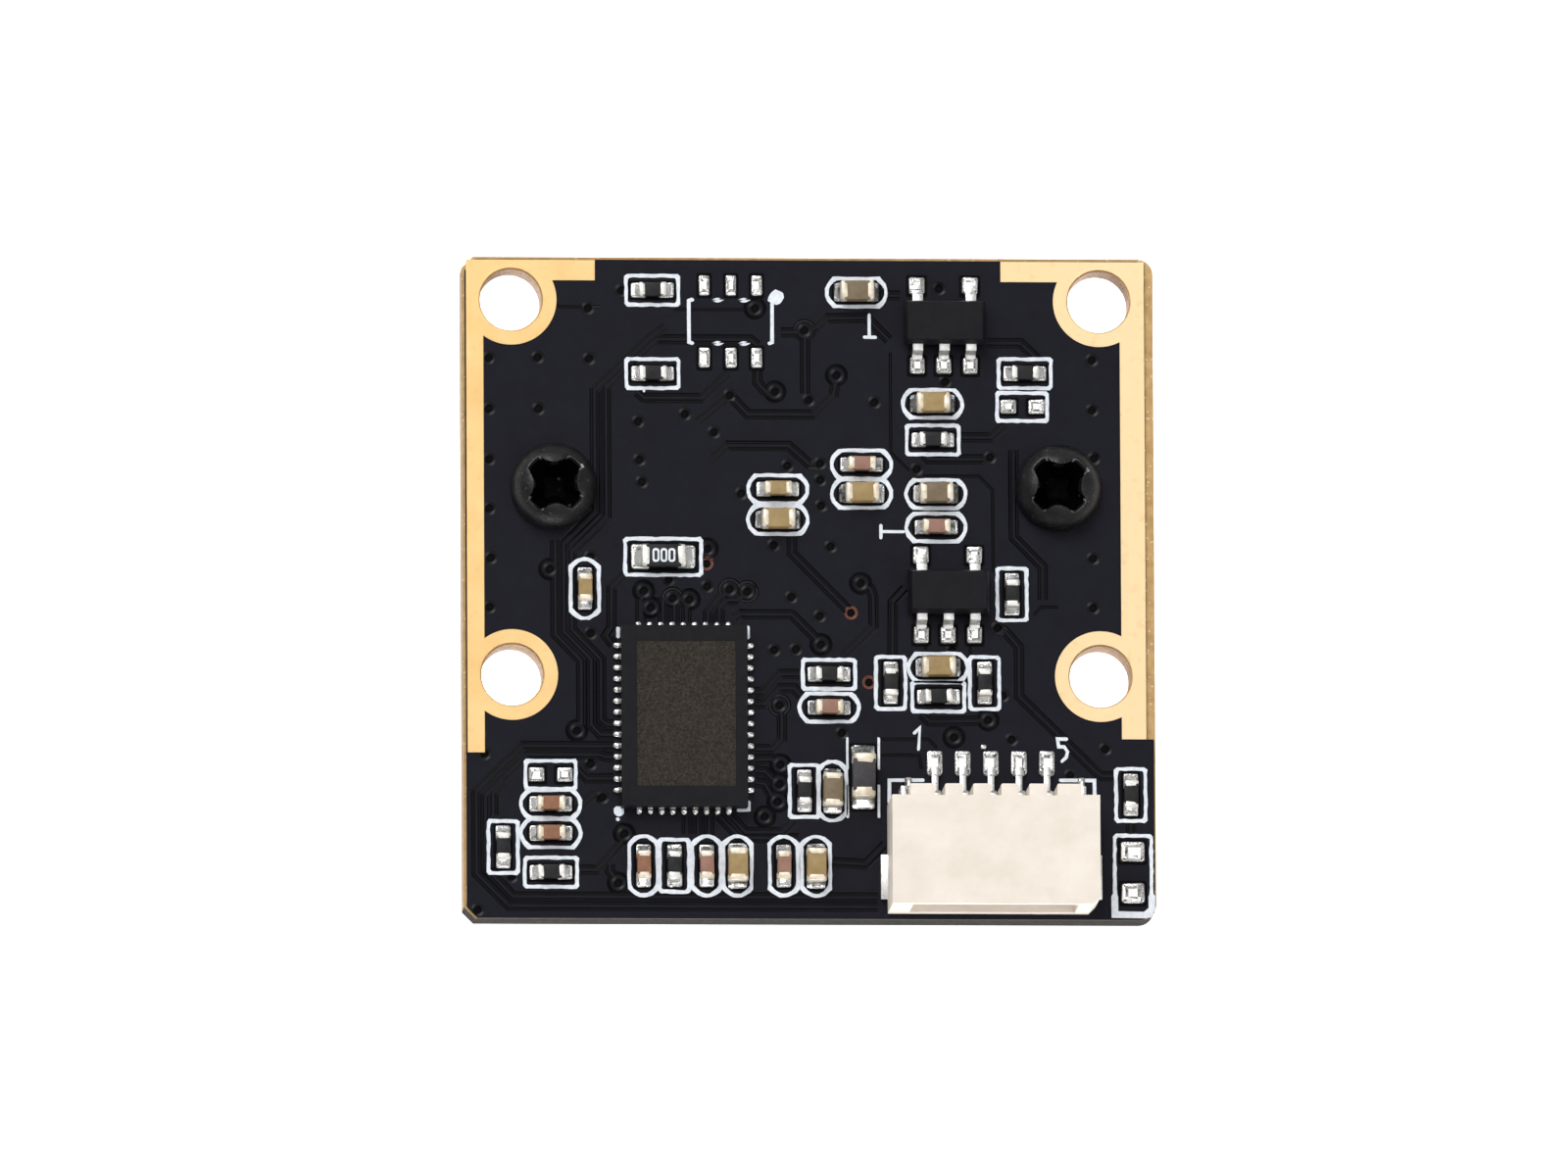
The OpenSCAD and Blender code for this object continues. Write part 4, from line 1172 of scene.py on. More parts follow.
            # Painted shade: the walls and floors of the via pits take the near-black finish.
            if near < 0.18 and spot.z < plan.top - 0.03:
                face.material_index = 1
            # Painted shade: sloped faces and groove floors take the dark slope finish, or the dark dimple
            # finish near a via.
            elif face.normal.z < 0.985 or spot.z < plan.top - 0.006:
                face.material_index = 4 if near < 0.3 else 3
            if spot.z > plan.top - 0.06 and any(0.12 < (spot.xy - via).length < 0.26 for via in copper):
                face.material_index = 2

    def build(self) -> None:
        """Builds the board."""
        self.core()
        self.mask()


class Via(Enum):
    """Kinds of via."""

    PLAIN = "covered, on its own copper"
    CLEAR = "covered, with a clearance ring"
    COPPER = "open, with a coppery rim"


CONDUCTORS: list[list[Spot]] = [
    [(-9.05, 1.7), (-9.05, -1.7), (-8.14, -2.63), (-8.14, -4.85), (-8.3, -5.1)],
    [(-5.05, 9.42), (-5.75, 8.9), (-7.62, 7.1), (-7.62, 2.75), (-8.745, 1.62), (-8.745, -1.6), (-7.78, -2.6),
     (-7.78, -4.95), (-7.45, -5.3), (-7.0, -5.3)],
    [(-1.8, 8.72), (-2.05, 8.94), (-5.4, 8.94), (-7.22, 7.2), (-7.22, 2.55), (-8.47, 1.3), (-8.47, -1.52),
     (-7.43, -2.6), (-7.43, -4.76), (-7.22, -4.93), (-7.0, -4.93)],
    [(-6.6, 0.45), (-7.05, 0.0), (-7.05, -1.45), (-7.24, -1.75), (-7.0, -2.05)],
    [(-7, -5.71), (-10.25, -5.71), (-11.9, -7.35), (-11.9, -10.3), (-10.75, -11.45), (2.4, -11.45)],
    [(-7, -6.1), (-7.3, -6.1), (-7.5, -6.02), (-10.1, -6.02), (-11.57, -7.5), (-11.57, -10.1),
     (-10.6, -11.12),
     (2.4, -11.12)],
    [(-10.95, -7.0), (-11.3, -7.4), (-11.3, -8.2)],
    [(-7, -6.87), (-7.95, -6.87), (-8.3, -6.5)],
    [(-8.2, -10.15), (-7.6, -10.15), (-6.75, -9.2), (-6.64, -8.85)],
    [(-6.85, -10.62), (-7.15, -10.2), (-7.15, -9.95)],
    [(-7.65, -7.4), (-8.9, -8.5), (-9.3, -8.9)],
    [(-2.85, -8.2), (-2.3, -8.78), (-1.0, -8.78), (-0.55, -8.35)],
    [(-3.22, -8.2), (-2.5, -8.98), (-0.4, -9.0)],
    [(-4.0, -8.2), (-4.0, -8.85)],
    [(-4.4, -8.2), (-4.4, -8.85)],
    [(-3.6, -8.2), (-3.6, -8.9)],
    [(0.8, -9.85), (2.0, -9.92), (2.7, -9.2)],
    [(6.76, -1.41), (7.02, -1.55), (7.49, -2.1), (7.49, -3.87), (10.2, -6.55), (10.45, -6.73), (11.0, -6.73)],
    [(11.45, -8.4), (11.45, -8.75)],
    [(-1.95, -3.75), (-1.66, -3.75), (-1.05, -3.09), (-0.25, -3.09)],
    [(-1.95, -4.17), (-1.62, -4.17), (-1.08, -3.6), (-0.56, -3.6), (-0.25, -3.92)],
    [(-1.07, -4.3), (-0.99, -4.6), (-0.99, -5.45), (-1.33, -5.8), (-1.95, -5.8)],
    [(-1.95, -6.18), (-1.35, -6.16), (-1.1, -6.3)],
    [(-1.95, -6.58), (-1.6, -6.6), (-1.25, -6.95)],
    [(-1.95, -6.98), (-1.6, -7.05), (-1.35, -7.5), (-1.2, -7.65)],
    [(-6.02, -1.25), (-6.02, -0.5), (-5.92, -0.2)],
    [(-5.21, -1.25), (-5.21, -0.35)],
    [(-4.8, -1.25), (-4.8, -0.5)],
    [(-4.38, -1.25), (-4.38, -0.75), (-4.3, -0.5)],
    [(-3.61, -1.25), (-3.61, -0.87), (-3.27, -0.42), (-2.95, -0.2)],
    [(-3.2, -1.25), (-3.2, -0.73), (-2.95, -0.45), (-2.55, -0.43), (-2.3, -0.25)],
    [(-2.65, -1.1), (-2.45, -0.95), (-0.62, -0.95), (0.35, -1.92)],
    [(1.95, 0.13), (2.2, -0.02), (2.3, -0.3), (2.3, -1.38), (1.2, -2.45)],
    [(3.45, 0.0), (2.99, -0.5), (2.97, -2.42)],
    [(4.0, -4.5), (4.28, -4.78), (6.3, -4.75)],
    [(5.45, 5.45), (6.55, 5.45), (7.0, 5.9)],
    [(4.05, 4.95), (4.3, 4.66), (6.25, 4.66)],
    [(7.33, 5), (7.33, 1.85), (8.35, 0.8), (8.35, -0.4)],
    [(-3.4, 4.65), (-2.9, 5.12), (-0.7, 5.12), (0.05, 4.45), (0.4, 4.45)],
    [(-0.6, 2.0), (-0.6, 1.25), (1.4, -0.78)],
    [(-0.95, 9.2), (-0.95, 9.2), (-0.2, 9.22), (0.35, 9.4), (0.7, 9.72), (2.1, 9.75), (2.9, 8.95)],
    [(-0.1, 9.1), (-0.1, 7.0)],
    [(-2.8, 6.95), (-2.15, 6.25), (0.2, 6.25), (0.9, 6.95), (1.05, 7.6)],
    [(-1.8, 8.0), (-1.8, 7.4), (-1.5, 7.05), (-1.2, 7.05)],
    [(-2.85, 7.7), (-3.8, 6.83), (-5.85, 6.83), (-6.1, 7.05)],
    [(-2.95, 6.78), (-3.95, 5.95)],
    [(6.4, 8.85), (7.6, 8.85), (8.2, 8.3)],
    [(3.3, 10.55), (2.6, 10.55), (2.3, 10.85)],
]

POUR_EDGES: list[list[Spot]] = [
    [(-4.8, 10.02), (-1.95, 10.02)],
    [(2.95, 8.5), (2.95, 4.9), (3.6, 4.25)],
    [(4.1, 4.05), (6.1, 4.05), (6.58, 3.55), (6.58, 0.6)],
    [(2.55, -5.42), (4.25, -5.42), (4.55, -5.75)],
    [(2.55, -6.0), (3.9, -6.0), (3.98, -6.5)],
    [(-10.4, 11.45), (-8.9, 10.1), (-7.4, 10.1)],
    [(4.15, -2.05), (4.15, -2.5)],
    [(5.75, -2.0), (5.75, -2.5)],
    [(8.0, -0.95), (8.3, -0.65), (8.9, -0.65)],
]

PLAIN_VIAS: list[Spot] = [
    (-6.65, 10.7), (-7.85, 10.05), (-11.4, 8.25), (-9.65, 8.27), (-7.82, 8.23), (-11.4, 6.42),
    (-9.63, 6.42), (-6.07, 5.98), (-4.4, 6.25), (-2.8, 6.93), (0.02, 6.77), (2.37, 6.7), (-3.37, 5.6),
    (4.7, 10.8), (4.9, 7.45), (10.15, 8.25), (10.15, 6.45), (-11.4, 4.6), (-6.03, 4.6), (-11.4, 2.83),
    (-5.95, 3.8), (-11.35, 1.05), (-11.4, -0.72), (-7.8, 1.1), (-5.0, 0.3), (-0.75, 4.4), (0.42, 4.5),
    (0.42, 3.9), (0.45, 2.97), (-2.4, 3.4), (-1.25, 1.55), (0.78, 1.5), (-3.63, 0.05), (-0.63, -0.32),
    (0.38, -1.0), (3.87, 4.3), (6.5, 4.73), (10.2, 4.7), (10.15, 1.1), (10.15, -0.68), (-11.6, -6.0),
    (-7.82, -6.35), (-7.4, -7.55), (-10.65, -10.4), (-11.87, -11.6), (10.55, -5.75), (7.21, -5.42),
    (9.3, -6.7), (-1.25, -2.23), (-7.8, -1.65), (-0.48, -2.2), (1.15, -5.2), (6.9, -3.85), (5.1, -2.2),
    (6.73, -1.4)]
CLEAR_VIAS: list[Spot] = [
    (-1.88, 10.07), (-0.12, 9.28), (-1.18, 7.07), (1.02, 7.67), (-9.25, 0.65), (-5.9, -0.12),
    (-5.65, -0.72), (-4.87, -0.38), (-4.27, -0.43), (-3.62, 1.4), (-2.83, -0.05), (-2.2, -0.13),
    (1.85, 0.18), (-6.63, -8.85), (-6.85, -10.62), (-1.05, -6.35), (-1.08, -7.05), (-1.15, -7.68),
    (-1.62, -8.22), (-8.3, -5.15), (0.42, -2.03), (-1.07, -4.21), (6.37, -4.72), (5.15, -5.35)]
COPPER_VIAS: list[Spot] = [
    (-3.65, 0.87), (1.5, -0.88), (2.13, -3.38)]
VIAS: list[tuple[Spot, Via]] = [
    (spot, kind)
    for kind, spots in ((Via.PLAIN, PLAIN_VIAS), (Via.CLEAR, CLEAR_VIAS), (Via.COPPER, COPPER_VIAS))
    for spot in spots]


@dataclass(frozen=True)
class EdgeGold:
    """The bare gilded copper along the edges and round the mounting holes."""

    plan: BoardPlan
    ring_w: float = 0.53
    left_tab: float = 4.75
    right_tab: float = 5.45
    tab_w: float = 0.85
    left_foot: float = 5.95
    right_foot: float = 6.5
    top_gap: float = 0.12
    rounding: float = 0.045

    def build(self) -> None:
        """Builds the gold as one piece with rounded rims."""
        plan = self.plan
        low, high = plan.top - 0.14, plan.top + 0.036
        level, thick = (low + high) / 2, high - low
        left, right, upper = plan.low.x, plan.high.x, plan.high.y
        top, foot = upper - self.top_gap, upper - self.tab_w
        strips = [(left + 0.15, left + 0.76, plan.low.y + self.left_foot, top),
                  (right - 1.2, right - 0.33, plan.low.y + self.right_foot, top),
                  (left + 0.15, left + self.left_tab, foot, top),
                  (right - self.right_tab, right - 0.33, foot, top)]
        gold = None
        for x0, x1, y0, y1 in strips:
            strip = block("gold", ((x0 + x1) / 2, (y0 + y1) / 2, level), (x1 - x0, y1 - y0, thick))
            gold = carve(gold, strip, "UNION") if gold else strip
        for x, y in plan.holes:
            carve(gold, drum("ring", (x, y, level), plan.hole_r + self.ring_w, thick, 72), "UNION")
        carve(gold, block("trim", (left - 0.4, 0, level), (1.1, 40, 1)))
        carve(gold, block("trim", (right + 0.22, 0, level), (1.1, 40, 1)))
        carve(gold, block("trim", (0, upper + 0.38, level), (40, 1, 1)))
        for x, side in ((left, -1), (right, 1)):
            corner = block("trim", (0, 0, 0), (1, 1, 1))
            carve(gold, cast(corner, "trim", (x + side * 0.22, upper + 0.22, level), 45))
            bpy.data.objects.remove(corner)
        for x, y in plan.holes:
            carve(gold, drum("bore", (x, y, level), plan.hole_r + 0.05, 1, 72))
        soften(gold, self.rounding, 2)
        gold.name = gold.data.name = "edge_plating"
        paint(gold, GOLD, GOLD_PAINTED_HIGHLIGHT)
        # Painted highlight: the sloped rim faces of the gold take the paler rim finish.
        for face in gold.data.polygons:
            if face.normal.z < 0.98 and face.center.z > (plan.top - 0.02) * MM:
                face.material_index = 1
        deliver(gold, None, ["edge_plating"])


# ------------------------------------------------------------------ print


class SilkPen:
    """Draws the white print: outlines, brackets, dots and numerals, all slightly uneven."""

    def __init__(self, plan: BoardPlan, line: float = 0.135, thickness: float = 0.022) -> None:
        """Starts with nothing drawn.

        Args:
            plan: The board.
            line: Width of a line.
            thickness: Thickness of the print.
        """
        self.level = plan.top - 0.002
        self.line = line
        self.thickness = thickness
        self.marks: list[bpy.types.Object] = []
        self.draw = random.Random(7)

    def uneven(self, ring: Sequence[Spot], amount: float = 0.012) -> list[Spot]:
        """Shakes corners by a few hundredths.

        Args:
            ring: The corners.
            amount: Greatest move along X and along Y.

        Returns:
            The moved corners.
        """
        return [(x + self.draw.uniform(-amount, amount), y + self.draw.uniform(-amount, amount)) for x,
                y in ring]

    def ring(self, length: float, width: float, corner: float, steps: int = 4) -> list[Spot]:
        """Gives a rounded rectangle, with points along its sides.

        Args:
            length: Length along X.
            width: Length along Y.
            corner: Radius of the corners.
            steps: Points along each corner.

        Returns:
            Its corners, anticlockwise.
        """
        spots = []
        for turn, (sx, sy) in enumerate(((1, 1), (-1, 1), (-1, -1), (1, -1))):
            middle = (sx * (length / 2 - corner), sy * (width / 2 - corner))
            for step in range(steps):
                angle = math.radians(90 * turn + 90 / (steps - 1) * step)
                spots.append((middle[0] + corner * math.cos(angle), middle[1] + corner * math.sin(angle)))
        rich = []
        for index, spot in enumerate(spots):
            after = spots[(index + 1) % len(spots)]
            rich.append(spot)
            pieces = int(math.dist(spot, after) / 0.17)
            for step in range(1, pieces):
                rich.append(tuple(a + (b - a) * step / pieces for a, b in zip(spot, after)))
        return rich

    def place(self, ring: Sequence[Spot], x: float, y: float, turn: float) -> list[Spot]:
        """Turns and moves a ring.

        Args:
            ring: Its corners.
            x: New middle along X.
            y: New middle along Y.
            turn: Turn about Z, in degrees.

        Returns:
            The placed corners.
        """
        cos, sin = math.cos(math.radians(turn)), math.sin(math.radians(turn))
        return [(x + a * cos - b * sin, y + a * sin + b * cos) for a, b in ring]

    def add(self, outlines: Sequence[Sequence[Spot]]) -> None:
        """Prints closed outlines."""
        level = self.level + 0.0011 * (len(self.marks) % 4)
        self.marks.append(printed_shape("mark", outlines, level, self.thickness))

    def frame(self, x: float, y: float, turn: float, length: float, width: float, corner: float) -> None:
        """Prints a closed frame.

        Args:
            x: Middle along X.
            y: Middle along Y.
            turn: Turn about Z, in degrees.
            length: Outer length.
            width: Outer width.
            corner: Outer radius of the corners.
        """
        outer = self.uneven(self.ring(length, width, corner, 2), 0.016)
        inner = self.uneven(self.ring(length - 2 * self.line, width - 2 * self.line, 0.06, 2), 0.016)
        self.add([self.place(outer, x, y, turn), self.place(inner, x, y, turn)])

    def stroke(self, path: Sequence[Spot], width: float = 0) -> None:
        """Prints a line with round ends along a path.

        Args:
            path: Corners of its middle line.
            width: Width, where it differs from the pen's.
        """
        half = (width or self.line) / 2
        spots = [Vector(spot) for spot in path]
        sides: list[list[Spot]] = [[], []]
        for index, spot in enumerate(spots):
            before = (spot - spots[index - 1]).normalized() if index else None
            after = (spots[index + 1] - spot).normalized() if index + 1 < len(spots) else None
            along = ((before or after) + (after or before)).normalized()
            reach = half / max(0.5, along.dot(after or before))
            for side, sign in zip(sides, (1, -1)):
                side.append((spot.x - along.y * reach * sign, spot.y + along.x * reach * sign))
        caps = []
        for spot, along in ((spots[-1], spots[-1] - spots[-2]), (spots[0], spots[0] - spots[1])):
            base = math.atan2(along.y, along.x)
            turns = [base + math.radians(angle) for angle in (50, 0, -50)]
            caps.append([(spot.x + half * math.cos(turn), spot.y + half * math.sin(turn)) for turn in turns])
        self.add([self.uneven(sides[0] + caps[0] + sides[1][::-1] + caps[1], 0.008)])

    def dot(self, x: float, y: float, radius: float) -> None:
        """Prints a blob.

        Args:
            x: Middle along X.
            y: Middle along Y.
            radius: Its radius.
        """
        turns = [math.tau * k / 12 for k in range(12)]
        ring = [(x + radius * math.cos(turn), y + radius * math.sin(turn)) for turn in turns]
        self.add([self.uneven(ring, radius * 0.1)])

    def bulged(self, x: float, y: float, turn: float, length: float, width: float) -> None:
        """Prints a closed frame with straight sides and bulged ends.

        Args:
            x: Middle along X.
            y: Middle along Y.
            turn: Turn about Z in degrees.
            length: Outer length, over the bulges.
            width: Outer width.
        """
        rings = []
        for inset in (0, self.line):
            half, side = length / 2 - inset, width / 2 - inset
            bow = [(half - 0.3 * abs(t) ** 2.2, side * t)
                   for t in (-1, -0.8, -0.55, -0.25, 0.0, 0.25, 0.55, 0.8, 1)]
            top = [(a, side) for a in (0.55 * half, 0.3 * half, 0, -0.3 * half, -0.55 * half)]
            ring = bow + top + [(-a, -b) for a, b in bow] + [(-a, -b) for a, b in top]
            rings.append(self.place(self.uneven(ring, 0.016), x, y, turn))
        self.add(rings)

    def outline(self, part: "ChipPart") -> None:
        """Prints what surrounds a chip part.

        Args:
            part: The chip part.
        """
        x, y, _, turn = part.place
        length, width, corner = SIZES[part.kind].outline
        if part.kind is Kind.BEAD:
            for side in (-1, 1):
                for y0, y1 in ((1.4, 0.32), (-0.3, -1.42)):
                    self.stroke([(x + side * 0.56, y + y0), (x + side * 0.56, y + y1)], 0.1)
        elif part.kind in (Kind.SMALL_CAP, Kind.LARGE_CAP):
            self.bulged(x, y, turn, length, width)
        else:
            self.frame(x, y, turn, length, width, corner)

    def leaf(self, x: float, y: float, half_x: float, half_y: float) -> None:
        """Prints a short dash that is pointed at both ends.

        Args:
            x: Middle along X.
            y: Middle along Y.
            half_x: Half its length.
            half_y: Half its width.
        """
        side = [(half_x * t, half_y * (1 - t * t)) for t in (-1, -0.6, -0.2, 0.2, 0.6)]
        self.add([self.place([(-a, -b) for a, b in side] + side[::-1], x, y, 180)])

    def finish(self) -> None:
        """Joins all marks into the print."""
        silk = weld("silkscreen", self.marks)
        smooth(silk, 40)
        deliver(silk, PRINT, ["silkscreen"])


# ------------------------------------------------------------------ chip parts


class Kind(Enum):
    """Kinds of chip part."""

    SMALL_CAP = "small capacitor"
    LARGE_CAP = "large capacitor"
    RESISTOR = "resistor"
    LINK = "link"
    BEAD = "bead"


@dataclass(frozen=True)
class ChipSize:
    """Sizes of a kind of chip part and its outline."""

    length: float
    width: float
    height: float
    cap: float
    outline: tuple[float, float, float]
    land_end: float
    land_width: float


SIZES = {
    Kind.SMALL_CAP: ChipSize(1.0, 0.5, 0.5, 0.25, (2.26, 1.14, 0.4), 0.78, 0.54),
    Kind.LARGE_CAP: ChipSize(1.2, 0.7, 0.65, 0.27, (2.26, 1.14, 0.4), 0.82, 0.62),
    Kind.RESISTOR: ChipSize(1.0, 0.5, 0.35, 0.25, (2.0, 1.18, 0.09), 0.78, 0.54),
    Kind.LINK: ChipSize(1.6, 0.82, 0.45, 0.33, (2.85, 1.44, 0.1), 1.16, 0.9),
    Kind.BEAD: ChipSize(1.6, 0.82, 0.8, 0.42, (2.85, 1.34, 0.1), 1.16, 0.86),
}

PINKISH = {3, 6, 10, 16, 18}
BROWNISH = {13, 14, 15}
GREYISH = {1, 5, 12}


@dataclass(frozen=True)
class ChipPart:
    """One chip part at its node's place."""

    node: str
    kind: Kind
    finish: Finish
    slot: str

    @property
    def place(self) -> tuple[float, float, float, float]:
        """Reads the part's place from its node's box.

        Returns:
            Middle X and Y, height of the board and turn about Z.
        """
        low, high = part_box(self.node)
        turn = 90 if high.y - low.y > high.x - low.x else 0
        return ((low.x + high.x) / 2 / MM, (low.y + high.y) / 2 / MM, low.z / MM, turn)


def chip_parts() -> list[ChipPart]:
    """Lists all chip parts of the frame with their kinds and finishes.

    Returns:
        The parts in the order of the frame's nodes, then the link and the bead.
    """
    parts = []
    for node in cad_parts:
        if node.startswith("capacitor_"):
            number = int(node[-2:])
            low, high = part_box(node)
            kind = Kind.LARGE_CAP if max(high.x - low.x, high.y - low.y) > 1.1 * MM else Kind.SMALL_CAP
            if number in PINKISH:
                parts.append(ChipPart(node, kind, PINK, "capacitor_brown"))
            elif number in BROWNISH:
                parts.append(ChipPart(node, kind, BROWN, "capacitor_brown"))
            elif number in GREYISH:
                parts.append(ChipPart(node, kind, GREY_TAN, "capacitor_grey"))
            else:
                parts.append(ChipPart(node, kind, TAN, "capacitor_tan"))
        elif node.startswith("resistor_"):
            parts.append(ChipPart(node, Kind.RESISTOR, RESISTIVE, "resistor_black"))
    parts.append(ChipPart("zero_ohm_link", Kind.LINK, RESISTIVE, "resistor_black"))
    parts.append(ChipPart("ferrite_bead", Kind.BEAD, FERRITE, "bead_grey"))
    return parts


class ChipMaker:
    """Builds the chip parts from one body and one end cap."""

    def __init__(self, pen: SilkPen) -> None:
        """Models the masters.

        Args:
            pen: The pen that draws the rings of the zeros.
        """
        self.pen = pen
        self.draw = random.Random(21)
        self.body = soften(block("body_model", (0, 0, 0.5), (1, 1, 1)), 0.05, 2)
        self.cap = block("cap_model", (0.5, 0, 0.5), (1, 1, 1))
        work(self.cap, "BEVEL", width=0.2 * MM, segments=3, limit_method="NONE")
        smooth(self.cap, 60)

    def build(self, part: ChipPart) -> None:
        """Builds one part at its place.

        Args:
            part: The chip part.
        """
        x, y, z, turn = part.place
        size = SIZES[part.kind]
        pieces = [cast(self.body, "body", (0, 0, 0.01), 0, (size.length - size.cap, size.width - 0.02,
                                                            size.height - 0.02))]
        pieces[0].data.materials.append(part.finish.material())
        for side in (-1, 1):
            cap = cast(self.cap, "cap", (side * (size.length / 2 - size.cap), 0, 0.0), 0,
                       (side * size.cap, size.width, size.height))
            relief_noise(cap, 0.018, 0.5, self.draw.randrange(9999))
            bright = part.kind in (Kind.RESISTOR, Kind.LINK)
            cap.data.materials.append((CAP_SILVER if bright else CAP_METAL).material())
            pieces.append(cap)
        if part.kind is Kind.LINK:
            pieces += self.zeros(size.height)
        piece = weld(part.node, pieces)
        piece.data.transform(Matrix.Translation(Vector((x, y, z)) * MM) @ Matrix.Rotation(
            math.radians(turn + self.draw.uniform(-1.2, 1.2)), 4, "Z"))
        deliver(piece, None, [part.node])

    def zeros(self, level: float) -> list[bpy.types.Object]:
        """Makes the three zeros that say that the link has no resistance.

        Args:
            level: Height of the link's upper face.

        Returns:
            The zeros.
        """
        marks = []
        for index in (-1, 0, 1):
            outer = self.pen.place(self.pen.ring(0.25, 0.5, 0.1), index * 0.285, 0, 0)
            inner = self.pen.place(self.pen.ring(0.1, 0.34, 0.045), index * 0.285, 0, 0)
            mark = printed_shape("zero", [outer, inner], level - 0.012, 0.022)
            mark.data.materials.append(PRINT.material())
            marks.append(mark)
        return marks

    def close(self) -> None:
        """Removes the masters."""
        for model in (self.body, self.cap):
            bpy.data.objects.remove(model)


# ------------------------------------------------------------------ solder


class Clearings:
    """The openings of the mask round the lands, as thin plates whose near-black colour is partly painted
    shade.
    """

    def __init__(self, plan: BoardPlan, pen: SilkPen) -> None:
        """Starts with no opening.

        Args:
            plan: The board.
            pen: The pen that draws the rings.
        """
        self.level = plan.top - 0.006
        self.pen = pen
        self.plates: list[bpy.types.Object] = []

    def open(self, x: float, y: float, length: float, width: float, turn: float = 0) -> None:
        """Adds one opening.

        Args:
            x: Middle along X.
            y: Middle along Y.
            length: Its length.
            width: Its width.
            turn: Turn about Z, in degrees.
        """
        ring = self.pen.place(self.pen.ring(length, width, 0.08), x, y, turn)
        level = self.level + 0.0004 * (len(self.plates) % 3)
        self.plates.append(printed_shape("opening", [ring], level, 0.01))

    def chip(self, part: ChipPart) -> None:
        """Opens the mask under both ends of a chip part.

        Args:
            part: The chip part.
        """
        x, y, _, turn = part.place
        size = SIZES[part.kind]
        self.open(x, y, 2 * size.land_end + 0.14, size.land_width + 0.16, turn)

    def finish(self) -> None:
        """Joins the openings and gives them the near-black painted shade finish."""
        deliver(weld("mask_openings_painted_shade", self.plates), MASK_SHADE)


